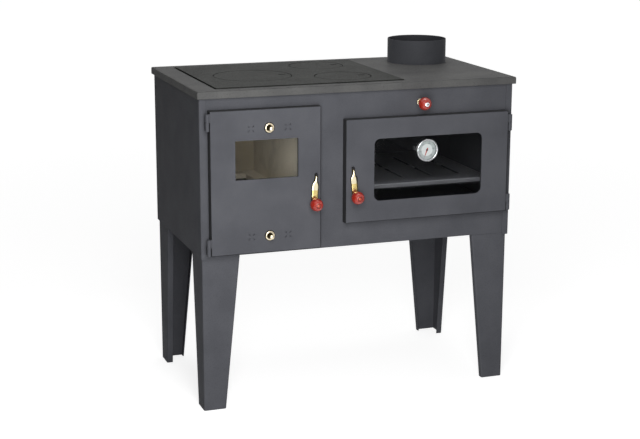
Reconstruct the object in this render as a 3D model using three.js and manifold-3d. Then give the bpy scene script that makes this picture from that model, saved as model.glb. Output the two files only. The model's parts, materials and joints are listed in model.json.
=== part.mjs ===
// Wood cookstove on four folded legs: firebox on the left, oven on the right, cast-iron hob on top.
// Millimetres, +X to the right, +Y to the back, +Z up. The origin is on the floor, under the middle
// of the box that holds the whole stove, handles and flue collar included.

import * as THREE from 'three';
import { mergeVertices } from 'three/addons/utils/BufferGeometryUtils.js';
import Module from 'manifold-3d';

const wasm = await Module();
wasm.setup();

// ---------------------------------------------------------------------------------------------
// Driving dimensions
// ---------------------------------------------------------------------------------------------

const SEAT = 0.3; // gap between two pieces that touch
const RUN = 0.5; // clearance of a piece that slides or turns
const OVER = 1; // how far a cutter reaches past what it cuts
const LAP = 0.5; // how far two solids that are joined reach into each other

// Top plate and cooking plate
const TOP_WIDTH = 790;
const TOP_DEPTH = 450;
const HOB_HEIGHT = 760; // floor to the top plate
const TOP_SHEET = 3;
const TOP_SKIRT = 17; // height of the folded rim
const SIDE_OVERHANG = 5;
const FRONT_OVERHANG = 8;
const BACK_OVERHANG = 7;
const FOLD_RADIUS = 3;
const PLATE_MARGIN = { left: 53, right: 277, bottom: 35, top: 35 }; // cooking plate inside the top plate
const PLATE_THICKNESS = 10;
const PLATE_PROUD = 2; // cooking plate above the top plate
const PLATE_GAP = 3;
const LEDGE_WIDTH = 10; // ledge that carries the cooking plate
const BIG_LID = { across: 0.3, radius: 0.25 }; // share of the plate's width, share of its depth
const SMALL_LID = { across: 0.7435, radius: 0.1816 };
const BIG_LID_SETBACK = -20; // big lid's centre behind the plate's centre line
const SMALL_LID_SETBACK = 7; // middle of the two small lids behind the plate's centre line
const SMALL_LID_SPREAD = 0.516; // centre to centre of the two small lids, as a share of the plate's depth
const LID_REBATE = 8; // width of the step that a lid rests on
const LID_GAP = 1.8;
const LID_EDGE = 0.8;
const LIFTER = { inset: 11, length: 18, width: 8, corner: 3.5, depth: 3 }; // pocket for the lifting tool

// Flue collar
const COLLAR_RADIUS = 75;
const COLLAR_WALL = 2;
const COLLAR_HEIGHT = 60;
const COLLAR_FLANGE = 12;
const COLLAR_FROM_RIGHT = 115; // top plate's right edge to the collar's axis
const COLLAR_FROM_BACK = 107;

// Casing
const CASE_HEIGHT = 390; // lower edge of the side panels to the top plate
const SKIN = 3; // side, front, back and bottom sheet
const PANEL_STEP = 4; // front panel's lower edge above the side panels'
const FLANGE_WIDTH = 16;
const FLANGE_BEND = 0.6; // inner bend radius of the folded panels and legs
const LEG_TOP_WIDTH = 92;
const LEG_FOOT_WIDTH = 54;
const LEG_LIP = 15;
const LEG_SHEET = 3;

// Doors. A margin is the distance inwards from each edge of what holds the thing.
const FIRE_DOOR_WIDTH = 263;
const FIRE_DOOR_MARGIN = { side: 20, bottom: 12, top: 44 }; // inside the casing
const DOOR_SPACING = 63; // fire door to oven door
const OVEN_DOOR_MARGIN = { side: 19, bottom: 65, top: 80 };
const FIRE_WINDOW_MARGIN = { left: 58, right: 54.5, bottom: 173.5, top: 70 };
const FIRE_WINDOW_CORNER = 0.5;
const OVEN_WINDOW_MARGIN = { left: 70, right: 68, bottom: 48.5, top: 48 };
const OVEN_WINDOW_CORNER = 15;
const FIRE_MOUTH_MARGIN = { left: 25, right: 48, bottom: 115, top: 24 }; // inside the fire door
const ASH_MOUTH_MARGIN = { left: 25, right: 48, bottom: 17, top: 254 };
const OVEN_MOUTH_MARGIN = { left: 52, right: 26, bottom: 22, top: 20 };
const MOUTH_CORNER = 4;
const DOOR_DEPTH = 22;
const DOOR_SHEET = 2.5;
const DOOR_GAP = 2; // door pan's rim to the front panel
const DOOR_FOLD = 2;
const GLASS = 4;
const GLASS_LAP = 6; // how far a glass reaches behind its window's edge
const GLASS_CORNER = 3;
const LINER_SHEET = 2;
const ROPE = 8; // width and depth of the sealing rope
const ROPE_INSET = 4; // mouth's edge to the rope
const ROPE_CORNER = 6;
const CHANNEL_WALL = 1.5;
const CHANNEL_DEPTH = 4; // how deep the rope sits in its channel

// Hinges
const HINGE_OUT = 6; // door's edge to the hinge axis
const HINGE_BACK = 2; // door's front face to the hinge axis
const KNUCKLE_RADIUS = 4.5;
const KNUCKLE_LENGTH = 19.5; // one half of a hinge
const PIN_RADIUS = 2.4;
const PIN_SHORT = 3; // pin's end below the top of the upper knuckle
const WEB_SHEET = 3;
const ARM_SHEET = 4;
const FIRE_HINGE_INSET = { top: 24.5, bottom: 19.5 }; // door's end to the middle of the hinge
const OVEN_HINGE_INSET = { top: 28, bottom: 21.5 };

// Latches
const FIRE_LATCH_INSET = { side: 12, top: 158 }; // door's free edge and top to the spindle
const OVEN_LATCH_INSET = { side: 16, top: 113 };
const LATCH_LEAN = THREE.MathUtils.degToRad(4.5);
const LEVER_SHEET = 3;
const LEVER_STANDOFF = 3; // door's face to the lever
const LEVER_LENGTH = 68; // spindle to the bead's axis
const LEVER_HUB = 3.4; // radius of the lever's end round the spindle
const LEVER_SPIKE = 20; // spindle to where the narrow part starts to swell
const LEVER_SHOULDER = 31; // spindle to the lever's widest place
const LEVER_SHOULDER_WIDTH = 17;
const LEVER_WAIST_WIDTH = 14;
const LEVER_NECK_WIDTH = 5;
const SPINDLE_RADIUS = 3;
const SLEEVE_RADIUS = 7;
const SLEEVE_LENGTH = 11;
const TONGUE_LENGTH = 18;
const TONGUE_HEIGHT = 8;
const TONGUE_SHEET = 3;
const TONGUE_BACK = 1.5; // tongue to the front panel
const KEEPER_WIDTH = 8;
const KEEPER_HEIGHT = 15;
const BEAD_RADIUS = 15.5;
const BEAD_MOUTH = 4.6; // radius of the flat round the recess in a bead's front
const BEAD_LAND = 1; // width of that flat
const BEAD_RECESS = 3;
const HANDLE_REACH = 50; // top plate's front edge to the front of the beads

// Air shutters of the fire door
const AIR_INSET = { side: 139, top: 43, bottom: 39 }; // fire door's edges to the knobs' axes
const VENT_OFFSET = 44; // knob's axis to the middle of a group of air holes
const VENT_RING = 7.6; // middle of a group to the middle of a hole
const VENT_HOLE = { long: 3.2, wide: 1.9 }; // half axes of a hole
const VENT_RIM = 1.2; // shutter past its holes
const SHUTTER_TURN = THREE.MathUtils.degToRad(7); // from closed, as it stands, to open
const SHUTTER_SHEET = 1.5;
const SHUTTER_WAIST = 7;
const PASSAGE_RADIUS = 11; // holes in the liner behind the air holes
const ROSETTE_RADIUS = 11.5;
const ROSETTE_THICKNESS = 3;
const NUB_RADIUS = 6;
const NUB_LENGTH = 17;
const NUB_HEAD = 8; // length of the nub's thick end
const KNOB_EDGE = 2; // easing of the nub's and the rosette's edges
const SHANK_RADIUS = 3;

// Thermometer
const DIAL_INSET = { side: 133, top: 34 }; // oven window's left and top edges to the dial's middle
const DIAL_RADIUS = 26.5;
const DIAL_DEPTH = 9;
const DIAL_SHEET = 3;
const BEZEL = 2.5;
const BEZEL_EDGE = 1;
const STEM_RADIUS = 4;
const STEM_LENGTH = 45;
const NUT = { radius: 9, height: 4 };
const NEEDLE = { reach: 14, tail: 5, root: 3, tip: 0.6, hub: 2.6, sheet: 1 };
const NEEDLE_REST = THREE.MathUtils.degToRad(-160); // from straight up

// Flue bypass damper
const DAMPER_FROM_COLLAR = 134; // collar's axis to the rod
const DAMPER_UP = 31; // oven door's top to the rod
const DAMPER_ROD_RADIUS = 4;
const DAMPER_BEAD_CENTRE = 38; // front panel's face to the bead's centre
const FERRULE_RADIUS = 7;
const FERRULE_LENGTH = 10;
const BAFFLE_SHEET = 2;
const BYPASS_FROM_BACK = { front: 175, back: 85 }; // top plate's back edge to the window's ends
const BYPASS_RISE = 35; // oven's top to the window
const BYPASS_HEIGHT = 38;
const DAMPER_LAP = 8; // damper plate past the bypass window's edge
const DAMPER_TRAVEL = 95;
const RAIL_SHEET = 1.3;
const RAIL_GRIP = 4; // how far a rail covers the damper plate's edge

// Firebox
const BRICK = 30;
const BRICK_ARRIS = 1.5;
const FIREBOX_INSET = { left: 25, right: 43 }; // fire door's edges to the bricks' faces
const FIREBOX_FROM_BACK = 67; // casing's back to the face of the back brick
const BRICK_CLEARANCE = 25; // bricks' top to the top plate
const GRATE_SHELF_UP = 95; // casing's lower edge to the shelf
const FLOOR_BRICK_HEIGHT = 27;
const GRATE_MARGIN = { left: 33, right: 33, bottom: 35.4, top: 34 }; // firebox's inside to the grate
const GRATE_THICKNESS = 14;
const GRATE_SLOT = 9;
const GRATE_SLOTS = 6;
const GRATE_RIM = 12;
const PARTITION_CLEARANCE = 70; // partition's top to the top plate

// Ash pan
const ASH_PAN_MARGIN = { left: 8, right: 8, bottom: 0.8, top: 10 }; // inside the ash mouth
const ASH_PAN_SHORT = 26; // pan's back in front of the back brick's face
const PAN_SHEET = 1.5;
const PAN_SETBACK = 20; // front panel's face to the front of the ash pan
const ASH_HANDLE = { width: 80, reach: 14, height: 12, bend: 3 };
const RUNNER_WIDTH = 15;

// Oven
const OVEN_SHEET = 2;
const OVEN_SHORT = 18; // oven's back wall in front of the casing's back
const OVEN_FLANGE = 12;
const SHELF_UP = 56.5; // oven's floor to the top of the slotted shelf
const SHELF_SHEET = 1.5;
const SHELF_LIP = 10.5;
const SHELF_SIDE_GAP = 1;
const SHELF_SETBACK = 20; // front panel's face to the shelf's lip
const SHELF_SHORT = 35; // shelf's back edge in front of the oven's back wall
const RIB = { reach: 8, height: 6, setback: 5 }; // rib that carries the shelf, starting behind its lip
const SHELF_SLOT = { width: 10, length: 112 };
const SHELF_SLOT_PITCH = 75;
const SHELF_SLOT_COUNT = 4;

// ---------------------------------------------------------------------------------------------
// Planes and outlines that follow from the driving dimensions
// ---------------------------------------------------------------------------------------------

/** A rectangle inside another one, by its margins. */
const inside = (outer, margin, corner = 0) => ({
  left: outer.left + margin.left,
  right: outer.right - margin.right,
  bottom: outer.bottom + margin.bottom,
  top: outer.top - margin.top,
  corner,
});

const TOP_HALF = TOP_WIDTH / 2;
const TOP_FRONT = HANDLE_REACH - (TOP_DEPTH + HANDLE_REACH) / 2;
const TOP_BACK = TOP_FRONT + TOP_DEPTH;
const TOP_PLATE = { left: -TOP_HALF, right: TOP_HALF, bottom: TOP_FRONT, top: TOP_BACK };
const HANDLE_FRONT = TOP_FRONT - HANDLE_REACH;

const CASE_HALF = TOP_HALF - SIDE_OVERHANG;
const CASE_FRONT = TOP_FRONT + FRONT_OVERHANG;
const CASE_BACK = TOP_BACK - BACK_OVERHANG;
const CASE_BOTTOM = HOB_HEIGHT - CASE_HEIGHT;
const CASE_TOP = HOB_HEIGHT - TOP_SHEET - SEAT;
const INNER_HALF = CASE_HALF - SKIN - SEAT; // half width of everything between the side panels
const PANEL_FACE = CASE_FRONT + SKIN + SEAT;
const PANEL_REAR = PANEL_FACE + SKIN;
const INNER_FRONT = PANEL_REAR + SEAT;
const BACK_PANEL_REAR = CASE_BACK - SKIN - SEAT;
const INNER_BACK = BACK_PANEL_REAR - SKIN - SEAT;
const PANEL_BOTTOM = CASE_BOTTOM + PANEL_STEP;
const FLOOR_UNDER = PANEL_BOTTOM + SKIN;
const FLOOR_TOP = FLOOR_UNDER + SKIN;

const FIRE_DOOR_LEFT = FIRE_DOOR_MARGIN.side - CASE_HALF;
const FIRE_DOOR = {
  left: FIRE_DOOR_LEFT,
  right: FIRE_DOOR_LEFT + FIRE_DOOR_WIDTH,
  bottom: CASE_BOTTOM + FIRE_DOOR_MARGIN.bottom,
  top: HOB_HEIGHT - FIRE_DOOR_MARGIN.top,
};
const OVEN_DOOR = {
  left: FIRE_DOOR.right + DOOR_SPACING,
  right: CASE_HALF - OVEN_DOOR_MARGIN.side,
  bottom: CASE_BOTTOM + OVEN_DOOR_MARGIN.bottom,
  top: HOB_HEIGHT - OVEN_DOOR_MARGIN.top,
};
const FIRE_WINDOW = inside(FIRE_DOOR, FIRE_WINDOW_MARGIN, FIRE_WINDOW_CORNER);
const OVEN_WINDOW = inside(OVEN_DOOR, OVEN_WINDOW_MARGIN, OVEN_WINDOW_CORNER);
const FIRE_MOUTH = inside(FIRE_DOOR, FIRE_MOUTH_MARGIN, MOUTH_CORNER);
const ASH_MOUTH = inside(FIRE_DOOR, ASH_MOUTH_MARGIN, MOUTH_CORNER);
const OVEN_MOUTH = inside(OVEN_DOOR, OVEN_MOUTH_MARGIN, MOUTH_CORNER);

const DOOR_REAR = PANEL_FACE - DOOR_GAP;
const DOOR_FACE = DOOR_REAR - DOOR_DEPTH;
const DOOR_INSIDE = DOOR_FACE + DOOR_SHEET;
const GLASS_FACE = DOOR_INSIDE + SEAT;
const LINER_FACE = GLASS_FACE + GLASS + SEAT;
const ROPE_REAR = PANEL_FACE - SEAT;
const ROPE_FACE = ROPE_REAR - ROPE;
const TONGUE_REAR = PANEL_FACE - TONGUE_BACK;
const TONGUE_FACE = TONGUE_REAR - TONGUE_SHEET;
const LEVER_REAR = DOOR_FACE - LEVER_STANDOFF;
const LEVER_FACE = LEVER_REAR - LEVER_SHEET;
const HINGE_Y = DOOR_FACE + HINGE_BACK;

const FIRE_LATCH = { x: FIRE_DOOR.right - FIRE_LATCH_INSET.side, z: FIRE_DOOR.top - FIRE_LATCH_INSET.top };
const OVEN_LATCH = { x: OVEN_DOOR.left + OVEN_LATCH_INSET.side, z: OVEN_DOOR.top - OVEN_LATCH_INSET.top };
const AIR_X = FIRE_DOOR.left + AIR_INSET.side;
const UPPER_AIR_Z = FIRE_DOOR.top - AIR_INSET.top;
const LOWER_AIR_Z = FIRE_DOOR.bottom + AIR_INSET.bottom;
const VENT_REACH = VENT_RING + VENT_HOLE.long;
const DIAL_X = OVEN_WINDOW.left + DIAL_INSET.side;
const DIAL_Z = OVEN_WINDOW.top - DIAL_INSET.top;
const DIAL_REAR = GLASS_FACE - SEAT;
const DIAL_FLOOR = DIAL_REAR - DIAL_SHEET;
const DIAL_FRONT = DIAL_REAR - DIAL_DEPTH;

const COOKING_PLATE = inside(TOP_PLATE, PLATE_MARGIN);
const PLATE_WIDTH = COOKING_PLATE.right - COOKING_PLATE.left;
const PLATE_DEPTH = COOKING_PLATE.top - COOKING_PLATE.bottom;
const PLATE_MIDDLE_Y = (COOKING_PLATE.bottom + COOKING_PLATE.top) / 2;
const PLATE_TOP = HOB_HEIGHT + PLATE_PROUD;
const PLATE_UNDER = PLATE_TOP - PLATE_THICKNESS;
const LID_STEP = PLATE_TOP - PLATE_THICKNESS / 2; // level of a lid's shoulder
const lidAt = ({ across, radius }, y) => ({
  x: COOKING_PLATE.left + across * PLATE_WIDTH,
  y: PLATE_MIDDLE_Y + y,
  radius: radius * PLATE_DEPTH,
});
const LID_SPREAD = (SMALL_LID_SPREAD * PLATE_DEPTH) / 2;
const LIDS = {
  big_lid: lidAt(BIG_LID, BIG_LID_SETBACK),
  front_lid: lidAt(SMALL_LID, SMALL_LID_SETBACK - LID_SPREAD),
  rear_lid: lidAt(SMALL_LID, SMALL_LID_SETBACK + LID_SPREAD),
};
const COLLAR_X = TOP_HALF - COLLAR_FROM_RIGHT;
const COLLAR_Y = TOP_BACK - COLLAR_FROM_BACK;

const FIREBOX = {
  left: FIRE_DOOR.left + FIREBOX_INSET.left,
  right: FIRE_DOOR.right - FIREBOX_INSET.right,
  bottom: INNER_FRONT,
  top: CASE_BACK - FIREBOX_FROM_BACK,
};
const GRATE = inside(FIREBOX, GRATE_MARGIN);
const GRATE_SHELF_Z = CASE_BOTTOM + GRATE_SHELF_UP;
const BRICK_BOTTOM = GRATE_SHELF_Z + SKIN + SEAT;
const BRICK_TOP = HOB_HEIGHT - BRICK_CLEARANCE;
const PARTITION_LEFT = FIREBOX.right + BRICK + SEAT;
const PARTITION_TOP = HOB_HEIGHT - PARTITION_CLEARANCE;
const ASH_PAN = inside(ASH_MOUTH, ASH_PAN_MARGIN);
const ASH_PAN_BACK = FIREBOX.top - ASH_PAN_SHORT;

const OVEN_TOP = OVEN_MOUTH.top + OVEN_SHEET;
const OVEN_BACK = CASE_BACK - OVEN_SHORT;
const SHELF_Z = OVEN_MOUTH.bottom + SHELF_UP;
const SHELF_FRONT = PANEL_FACE + SHELF_SETBACK;
const SHELF_BACK = OVEN_BACK - SHELF_SHORT;
const DAMPER_X = COLLAR_X - DAMPER_FROM_COLLAR;
const DAMPER_Z = OVEN_DOOR.top + DAMPER_UP;
const DAMPER_PLATE_X = DAMPER_X + DAMPER_ROD_RADIUS + SEAT;
const BAFFLE_X = DAMPER_PLATE_X + BAFFLE_SHEET + RUN;
const BYPASS = {
  left: TOP_BACK - BYPASS_FROM_BACK.front, // its front end: it is drawn in Y and Z
  right: TOP_BACK - BYPASS_FROM_BACK.back,
  bottom: OVEN_TOP + BYPASS_RISE,
  top: OVEN_TOP + BYPASS_RISE + BYPASS_HEIGHT,
};
const around = (edge) => ({ left: -edge, right: -edge, bottom: -edge, top: -edge });
const DAMPER_PLATE = inside(BYPASS, around(DAMPER_LAP));

// ---------------------------------------------------------------------------------------------
// Finishes
// ---------------------------------------------------------------------------------------------

const finish = (color, roughness, metalness, extra = {}) =>
  new THREE.MeshStandardMaterial({ color, roughness, metalness, ...extra });

const PAINT = finish('#4b4c4f', 0.5, 0.4);
const CAST_IRON = finish('#3c3d3d', 0.65, 0.5);
const BLACK_STEEL = finish('#26272a', 0.55, 0.4);
const BRASS = finish('#d9b65c', 0.28, 1.0);
const RED_BEAD = finish('#b8362a', 0.2, 0.0);
const STEEL = finish('#b9bcc0', 0.3, 1.0);
const FIREBRICK = finish('#b8ad98', 0.95, 0.0);
const ROPE_GREY = finish('#6f6c66', 0.95, 0.0);
const CLEAR_GLASS = finish('#8f9698', 0.05, 0.0, { transparent: true, opacity: 0.3 });
const NEEDLE_RED = finish('#c22a22', 0.4, 0.0);

// ---------------------------------------------------------------------------------------------
// Geometry helpers
// ---------------------------------------------------------------------------------------------

const ROUND_SEGMENTS = 48; // sides of the collar and its hole
const LID_SEGMENTS = 40;
const CURVE_STEPS = 3; // half the segments of a quarter-round corner
const TRIM_EASE = 0.1; // rounding of the block that trims a pan's rim

/** The closed mesh of a geometry as a solid that can be joined and cut. */
function solid(geometry) {
  const bare = new THREE.BufferGeometry();
  bare.setAttribute('position', geometry.getAttribute('position').clone());
  if (geometry.index) bare.setIndex(geometry.index.clone());
  const merged = mergeVertices(bare, 1e-4);
  return new wasm.Manifold(new wasm.Mesh({
    numProp: 3,
    vertProperties: new Float32Array(merged.getAttribute('position').array),
    triVerts: new Uint32Array(merged.index.array),
  }));
}

/** A solid as a three.js geometry. */
function geometryOf(body) {
  const mesh = body.getMesh();
  const geometry = new THREE.BufferGeometry();
  geometry.setAttribute('position', new THREE.BufferAttribute(mesh.vertProperties, 3));
  geometry.setIndex(new THREE.BufferAttribute(mesh.triVerts, 1));
  geometry.computeVertexNormals();
  return geometry;
}

/** The first geometry with the others joined to it. */
const join = (first, ...others) => others.reduce((sum, next) => sum.add(next), first);

/** The first solid with the others cut out of it. */
const cut = (first, ...others) => others.reduce((rest, next) => rest.subtract(next), first);

/** A block between two values along each axis. */
function block([x0, x1], [y0, y1], [z0, z1]) {
  const geometry = new THREE.BoxGeometry(x1 - x0, y1 - y0, z1 - z0);
  geometry.translate((x0 + x1) / 2, (y0 + y1) / 2, (z0 + z1) / 2);
  return solid(geometry);
}

const AXES = {
  up: [[1, 0, 0], [0, 1, 0], [0, 0, 1]], // drawn in X and Y, depth along +Z
  front: [[1, 0, 0], [0, 0, 1], [0, -1, 0]], // drawn in X and Z, depth towards the front
  side: [[0, 1, 0], [0, 0, 1], [1, 0, 0]], // drawn in Y and Z, depth along +X
};

/** Turns a geometry drawn in its own x, y and z so that they lie along the named axes. */
function turned(geometry, axes) {
  const [x, y, z] = AXES[axes].map((v) => new THREE.Vector3(...v));
  return geometry.applyMatrix4(new THREE.Matrix4().makeBasis(x, y, z));
}

/** A shape drawn in the named plane, extruded between two values along the third axis. */
function extruded(shape, axes, [low, high], curveSegments = CURVE_STEPS) {
  const depth = high - low;
  const geometry = new THREE.ExtrudeGeometry(shape, { depth, bevelEnabled: false, curveSegments });
  turned(geometry, axes);
  const shift = axes === 'front' ? [0, high, 0] : axes === 'side' ? [low, 0, 0] : [0, 0, low];
  return solid(geometry.translate(...shift));
}

/** A rectangle with rounded corners. */
function roundedRectangle({ left, right, bottom, top, corner = 0 }, grow = 0) {
  const [l, r, b, t] = [left - grow, right + grow, bottom - grow, top + grow];
  const radius = Math.max(corner + Math.min(grow, 0), 0);
  const shape = new THREE.Shape();
  if (radius < 0.1) {
    shape.moveTo(l, b).lineTo(r, b).lineTo(r, t).lineTo(l, t).closePath();
    return shape;
  }
  shape.moveTo(l + radius, b).lineTo(r - radius, b);
  shape.absarc(r - radius, b + radius, radius, -Math.PI / 2, 0);
  shape.lineTo(r, t - radius).absarc(r - radius, t - radius, radius, 0, Math.PI / 2);
  shape.lineTo(l + radius, t).absarc(l + radius, t - radius, radius, Math.PI / 2, Math.PI);
  shape.lineTo(l, b + radius).absarc(l + radius, b + radius, radius, Math.PI, 1.5 * Math.PI);
  return shape;
}

/** A solid of revolution. The profile is [radius, height] pairs, closed or from axis to axis. */
function revolved(profile, axes, [x, y, z], segments = 32) {
  const points = profile.map(([radius, height]) => new THREE.Vector2(radius, height));
  const geometry = new THREE.LatheGeometry(points, segments);
  if (axes === 'up') geometry.rotateX(Math.PI / 2);
  return solid(geometry.translate(x, y, z));
}

/** A round bar of the given radius between two values along an axis. */
function bar(radius, axes, [low, high], [x, y, z], segments = 20) {
  const profile = [[0, low], [radius, low], [radius, high], [0, high]];
  return revolved(profile, axes, axes === 'up' ? [x, y, 0] : [x, 0, z], segments);
}

/** Outline of a folded sheet, anticlockwise: its middle line, rounded at the folds and thickened. */
function foldedOutline(line, thickness, bend, steps = 4) {
  const left = [];
  const right = [];
  const add = (point, normal) => {
    left.push(point.clone().addScaledVector(normal, thickness / 2));
    right.push(point.clone().addScaledVector(normal, -thickness / 2));
  };
  const points = line.map(([x, y]) => new THREE.Vector2(x, y));
  const direction = (i) => points[i + 1].clone().sub(points[i]).normalize();
  const normalOf = (d) => new THREE.Vector2(-d.y, d.x);
  add(points[0], normalOf(direction(0)));
  for (let i = 1; i < points.length - 1; i += 1) {
    const before = direction(i - 1);
    const after = direction(i);
    const turn = Math.atan2(before.cross(after), before.dot(after));
    const radius = bend + thickness / 2;
    const setback = radius * Math.tan(Math.abs(turn) / 2);
    const start = points[i].clone().addScaledVector(before, -setback);
    const centre = start.clone().addScaledVector(normalOf(before), radius * Math.sign(turn));
    for (let step = 0; step <= steps; step += 1) {
      const angle = (turn * step) / steps;
      const normal = normalOf(before).rotateAround(new THREE.Vector2(), angle);
      add(start.clone().rotateAround(centre, angle), normal);
    }
  }
  add(points.at(-1), normalOf(direction(points.length - 2)));
  const outline = [...left, ...right.reverse()];
  return THREE.ShapeUtils.isClockWise(outline) ? outline.reverse() : outline;
}

/** A solid between two outlines with matching points, the lower at z0 and the upper at z1. */
function lofted(lower, upper, z0, z1) {
  const count = lower.length;
  const faces = [];
  for (const [a, b, c] of THREE.ShapeUtils.triangulateShape(upper, [])) {
    faces.push(count + a, count + b, count + c, c, b, a);
  }
  for (let i = 0; i < count; i += 1) {
    const j = (i + 1) % count;
    faces.push(i, j, count + j, i, count + j, count + i);
  }
  const position = [...lower.map((p) => [p.x, p.y, z0]), ...upper.map((p) => [p.x, p.y, z1])].flat();
  const geometry = new THREE.BufferGeometry();
  geometry.setAttribute('position', new THREE.Float32BufferAttribute(position, 3));
  geometry.setIndex(faces);
  return geometry;
}

/** A block with all its edges eased, by bevelling an extruded rectangle. */
function easedBlock(width, height, depth, ease, segments) {
  const half = [width / 2 - ease, height / 2 - ease];
  const shape = roundedRectangle({ left: -half[0], right: half[0], bottom: -half[1], top: half[1] });
  const geometry = new THREE.ExtrudeGeometry(shape, {
    depth: depth - 2 * ease,
    bevelEnabled: true,
    bevelThickness: ease,
    bevelSize: ease,
    bevelSegments: segments,
  });
  return geometry.translate(0, 0, ease - depth);
}

/** A sheet folded into a shallow pan. Its face looks along `axes` at `face`; its back is open. */
function pan({ left, right, bottom, top }, axes, face, { depth, sheet, fold }) {
  const centre = [(left + right) / 2, (bottom + top) / 2];
  const place = (geometry, back) => {
    turned(geometry, axes);
    const [x, y] = centre;
    return solid(geometry.translate(...(axes === 'front' ? [x, face + back, y] : [x, y, face - back])));
  };
  const [width, height] = [right - left, top - bottom];
  const outer = place(easedBlock(width, height, depth * 2, fold, 2), 0);
  const inner = place(easedBlock(width - 2 * sheet, height - 2 * sheet, depth * 2, fold / 2, 2), sheet);
  const trim = place(easedBlock(width + 2 * OVER, height + 2 * OVER, depth * 2, TRIM_EASE, 1), depth);
  return cut(outer, inner, trim);
}

/** Turns a solid about an axis along Y through a point. */
function turnedAbout(body, { x, z }, angle) {
  return solid(geometryOf(body).translate(-x, 0, -z).rotateY(angle).translate(x, 0, z));
}

/** A named mesh. */
function mesh(name, body, material) {
  const made = new THREE.Mesh(body instanceof THREE.BufferGeometry ? body : geometryOf(body), material);
  made.name = name;
  return made;
}

// ---------------------------------------------------------------------------------------------
// Hob: top plate, cooking plate, lids and flue collar
// ---------------------------------------------------------------------------------------------

function topPlate() {
  const sheet = pan(TOP_PLATE, 'up', HOB_HEIGHT, { depth: TOP_SKIRT, sheet: TOP_SHEET, fold: FOLD_RADIUS });
  const ledgeTop = PLATE_UNDER - SEAT;
  const ledgeUnder = ledgeTop - TOP_SHEET;
  const drawn = (grow, levels) => extruded(roundedRectangle(COOKING_PLATE, grow), 'up', levels);
  const well = drawn(PLATE_GAP + TOP_SHEET, [ledgeUnder, HOB_HEIGHT - TOP_SHEET / 2]);
  const pocket = drawn(PLATE_GAP, [ledgeTop, HOB_HEIGHT + OVER]);
  const opening = drawn(-LEDGE_WIDTH, [ledgeUnder - OVER, HOB_HEIGHT + OVER]);
  const flueHole = bar(COLLAR_RADIUS + SEAT, 'up', [HOB_HEIGHT - TOP_SKIRT, HOB_HEIGHT + OVER],
    [COLLAR_X, COLLAR_Y, 0], ROUND_SEGMENTS);
  return mesh('top_plate', cut(join(sheet, well), pocket, opening, flueHole), PAINT);
}

/** The stepped round opening that a lid drops into. */
function lidSeat({ x, y, radius }) {
  const step = LID_STEP - SEAT;
  const hole = radius - LID_REBATE;
  const profile = [
    [0, PLATE_UNDER - OVER], [hole, PLATE_UNDER - OVER], [hole, step],
    [radius, step], [radius, PLATE_TOP + OVER], [0, PLATE_TOP + OVER],
  ];
  return revolved(profile, 'up', [x, y, 0], LID_SEGMENTS);
}

function cookingPlate() {
  const plate = extruded(roundedRectangle(COOKING_PLATE), 'up', [PLATE_UNDER, PLATE_TOP]);
  return mesh('cooking_plate', cut(plate, ...Object.values(LIDS).map(lidSeat)), CAST_IRON);
}

/** A cast lid: a disc on a narrower plug, with a pocket for the lifter near its right edge. */
function lid(name, { x, y, radius }) {
  const rim = radius - LID_GAP;
  const plug = rim - LID_REBATE;
  const profile = [
    [0, PLATE_UNDER], [plug, PLATE_UNDER], [plug, LID_STEP], [rim, LID_STEP],
    [rim, PLATE_TOP - LID_EDGE], [rim - LID_EDGE, PLATE_TOP], [0, PLATE_TOP],
  ];
  const right = x + rim - LIFTER.inset;
  const half = LIFTER.width / 2;
  const left = right - LIFTER.length;
  const pocket = { left, right, bottom: y - half, top: y + half, corner: LIFTER.corner };
  const lifter = extruded(roundedRectangle(pocket), 'up', [PLATE_TOP - LIFTER.depth, PLATE_TOP + OVER], 2);
  return mesh(name, cut(revolved(profile, 'up', [x, y, 0], LID_SEGMENTS), lifter), CAST_IRON);
}

function flueCollar() {
  const under = HOB_HEIGHT - TOP_SHEET - SEAT;
  const rim = HOB_HEIGHT + COLLAR_HEIGHT;
  const inner = COLLAR_RADIUS - COLLAR_WALL;
  const flange = COLLAR_RADIUS + COLLAR_FLANGE;
  const profile = [
    [inner, under - TOP_SHEET], [flange, under - TOP_SHEET], [flange, under], [COLLAR_RADIUS, under],
    [COLLAR_RADIUS, rim], [inner, rim], [inner, under - TOP_SHEET],
  ];
  return mesh('flue_collar', revolved(profile, 'up', [COLLAR_X, COLLAR_Y, 0], ROUND_SEGMENTS), PAINT);
}

// ---------------------------------------------------------------------------------------------
// Casing: panels and legs
// ---------------------------------------------------------------------------------------------

/** A side panel with a flange folded inwards at its front and its back. */
function sidePanel(name, side) {
  const middle = side * (CASE_HALF - SKIN / 2);
  const edge = side * (CASE_HALF - FLANGE_WIDTH);
  const line = [
    [edge, CASE_FRONT + SKIN / 2], [middle, CASE_FRONT + SKIN / 2],
    [middle, CASE_BACK - SKIN / 2], [edge, CASE_BACK - SKIN / 2],
  ];
  const shape = new THREE.Shape(foldedOutline(line, SKIN, FLANGE_BEND, 3));
  return mesh(name, extruded(shape, 'up', [CASE_BOTTOM, CASE_TOP]), PAINT);
}

function frontPanel() {
  const sheet = block([-INNER_HALF, INNER_HALF], [PANEL_FACE, PANEL_REAR], [PANEL_BOTTOM, CASE_TOP]);
  const mouths = [FIRE_MOUTH, ASH_MOUTH, OVEN_MOUTH].map((mouth) =>
    extruded(roundedRectangle(mouth), 'front', [PANEL_FACE - OVER, PANEL_REAR + OVER], 2));
  const rodHole = bar(DAMPER_ROD_RADIUS + RUN, 'front', [PANEL_FACE - OVER, PANEL_REAR + OVER],
    [DAMPER_X, 0, DAMPER_Z], 16);
  return mesh('front_panel', cut(sheet, ...mouths, rodHole), PAINT);
}

function backPanel() {
  const sheet = block([-INNER_HALF, INNER_HALF], [BACK_PANEL_REAR - SKIN, BACK_PANEL_REAR],
    [PANEL_BOTTOM, CASE_TOP]);
  return mesh('back_panel', sheet, PAINT);
}

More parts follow.
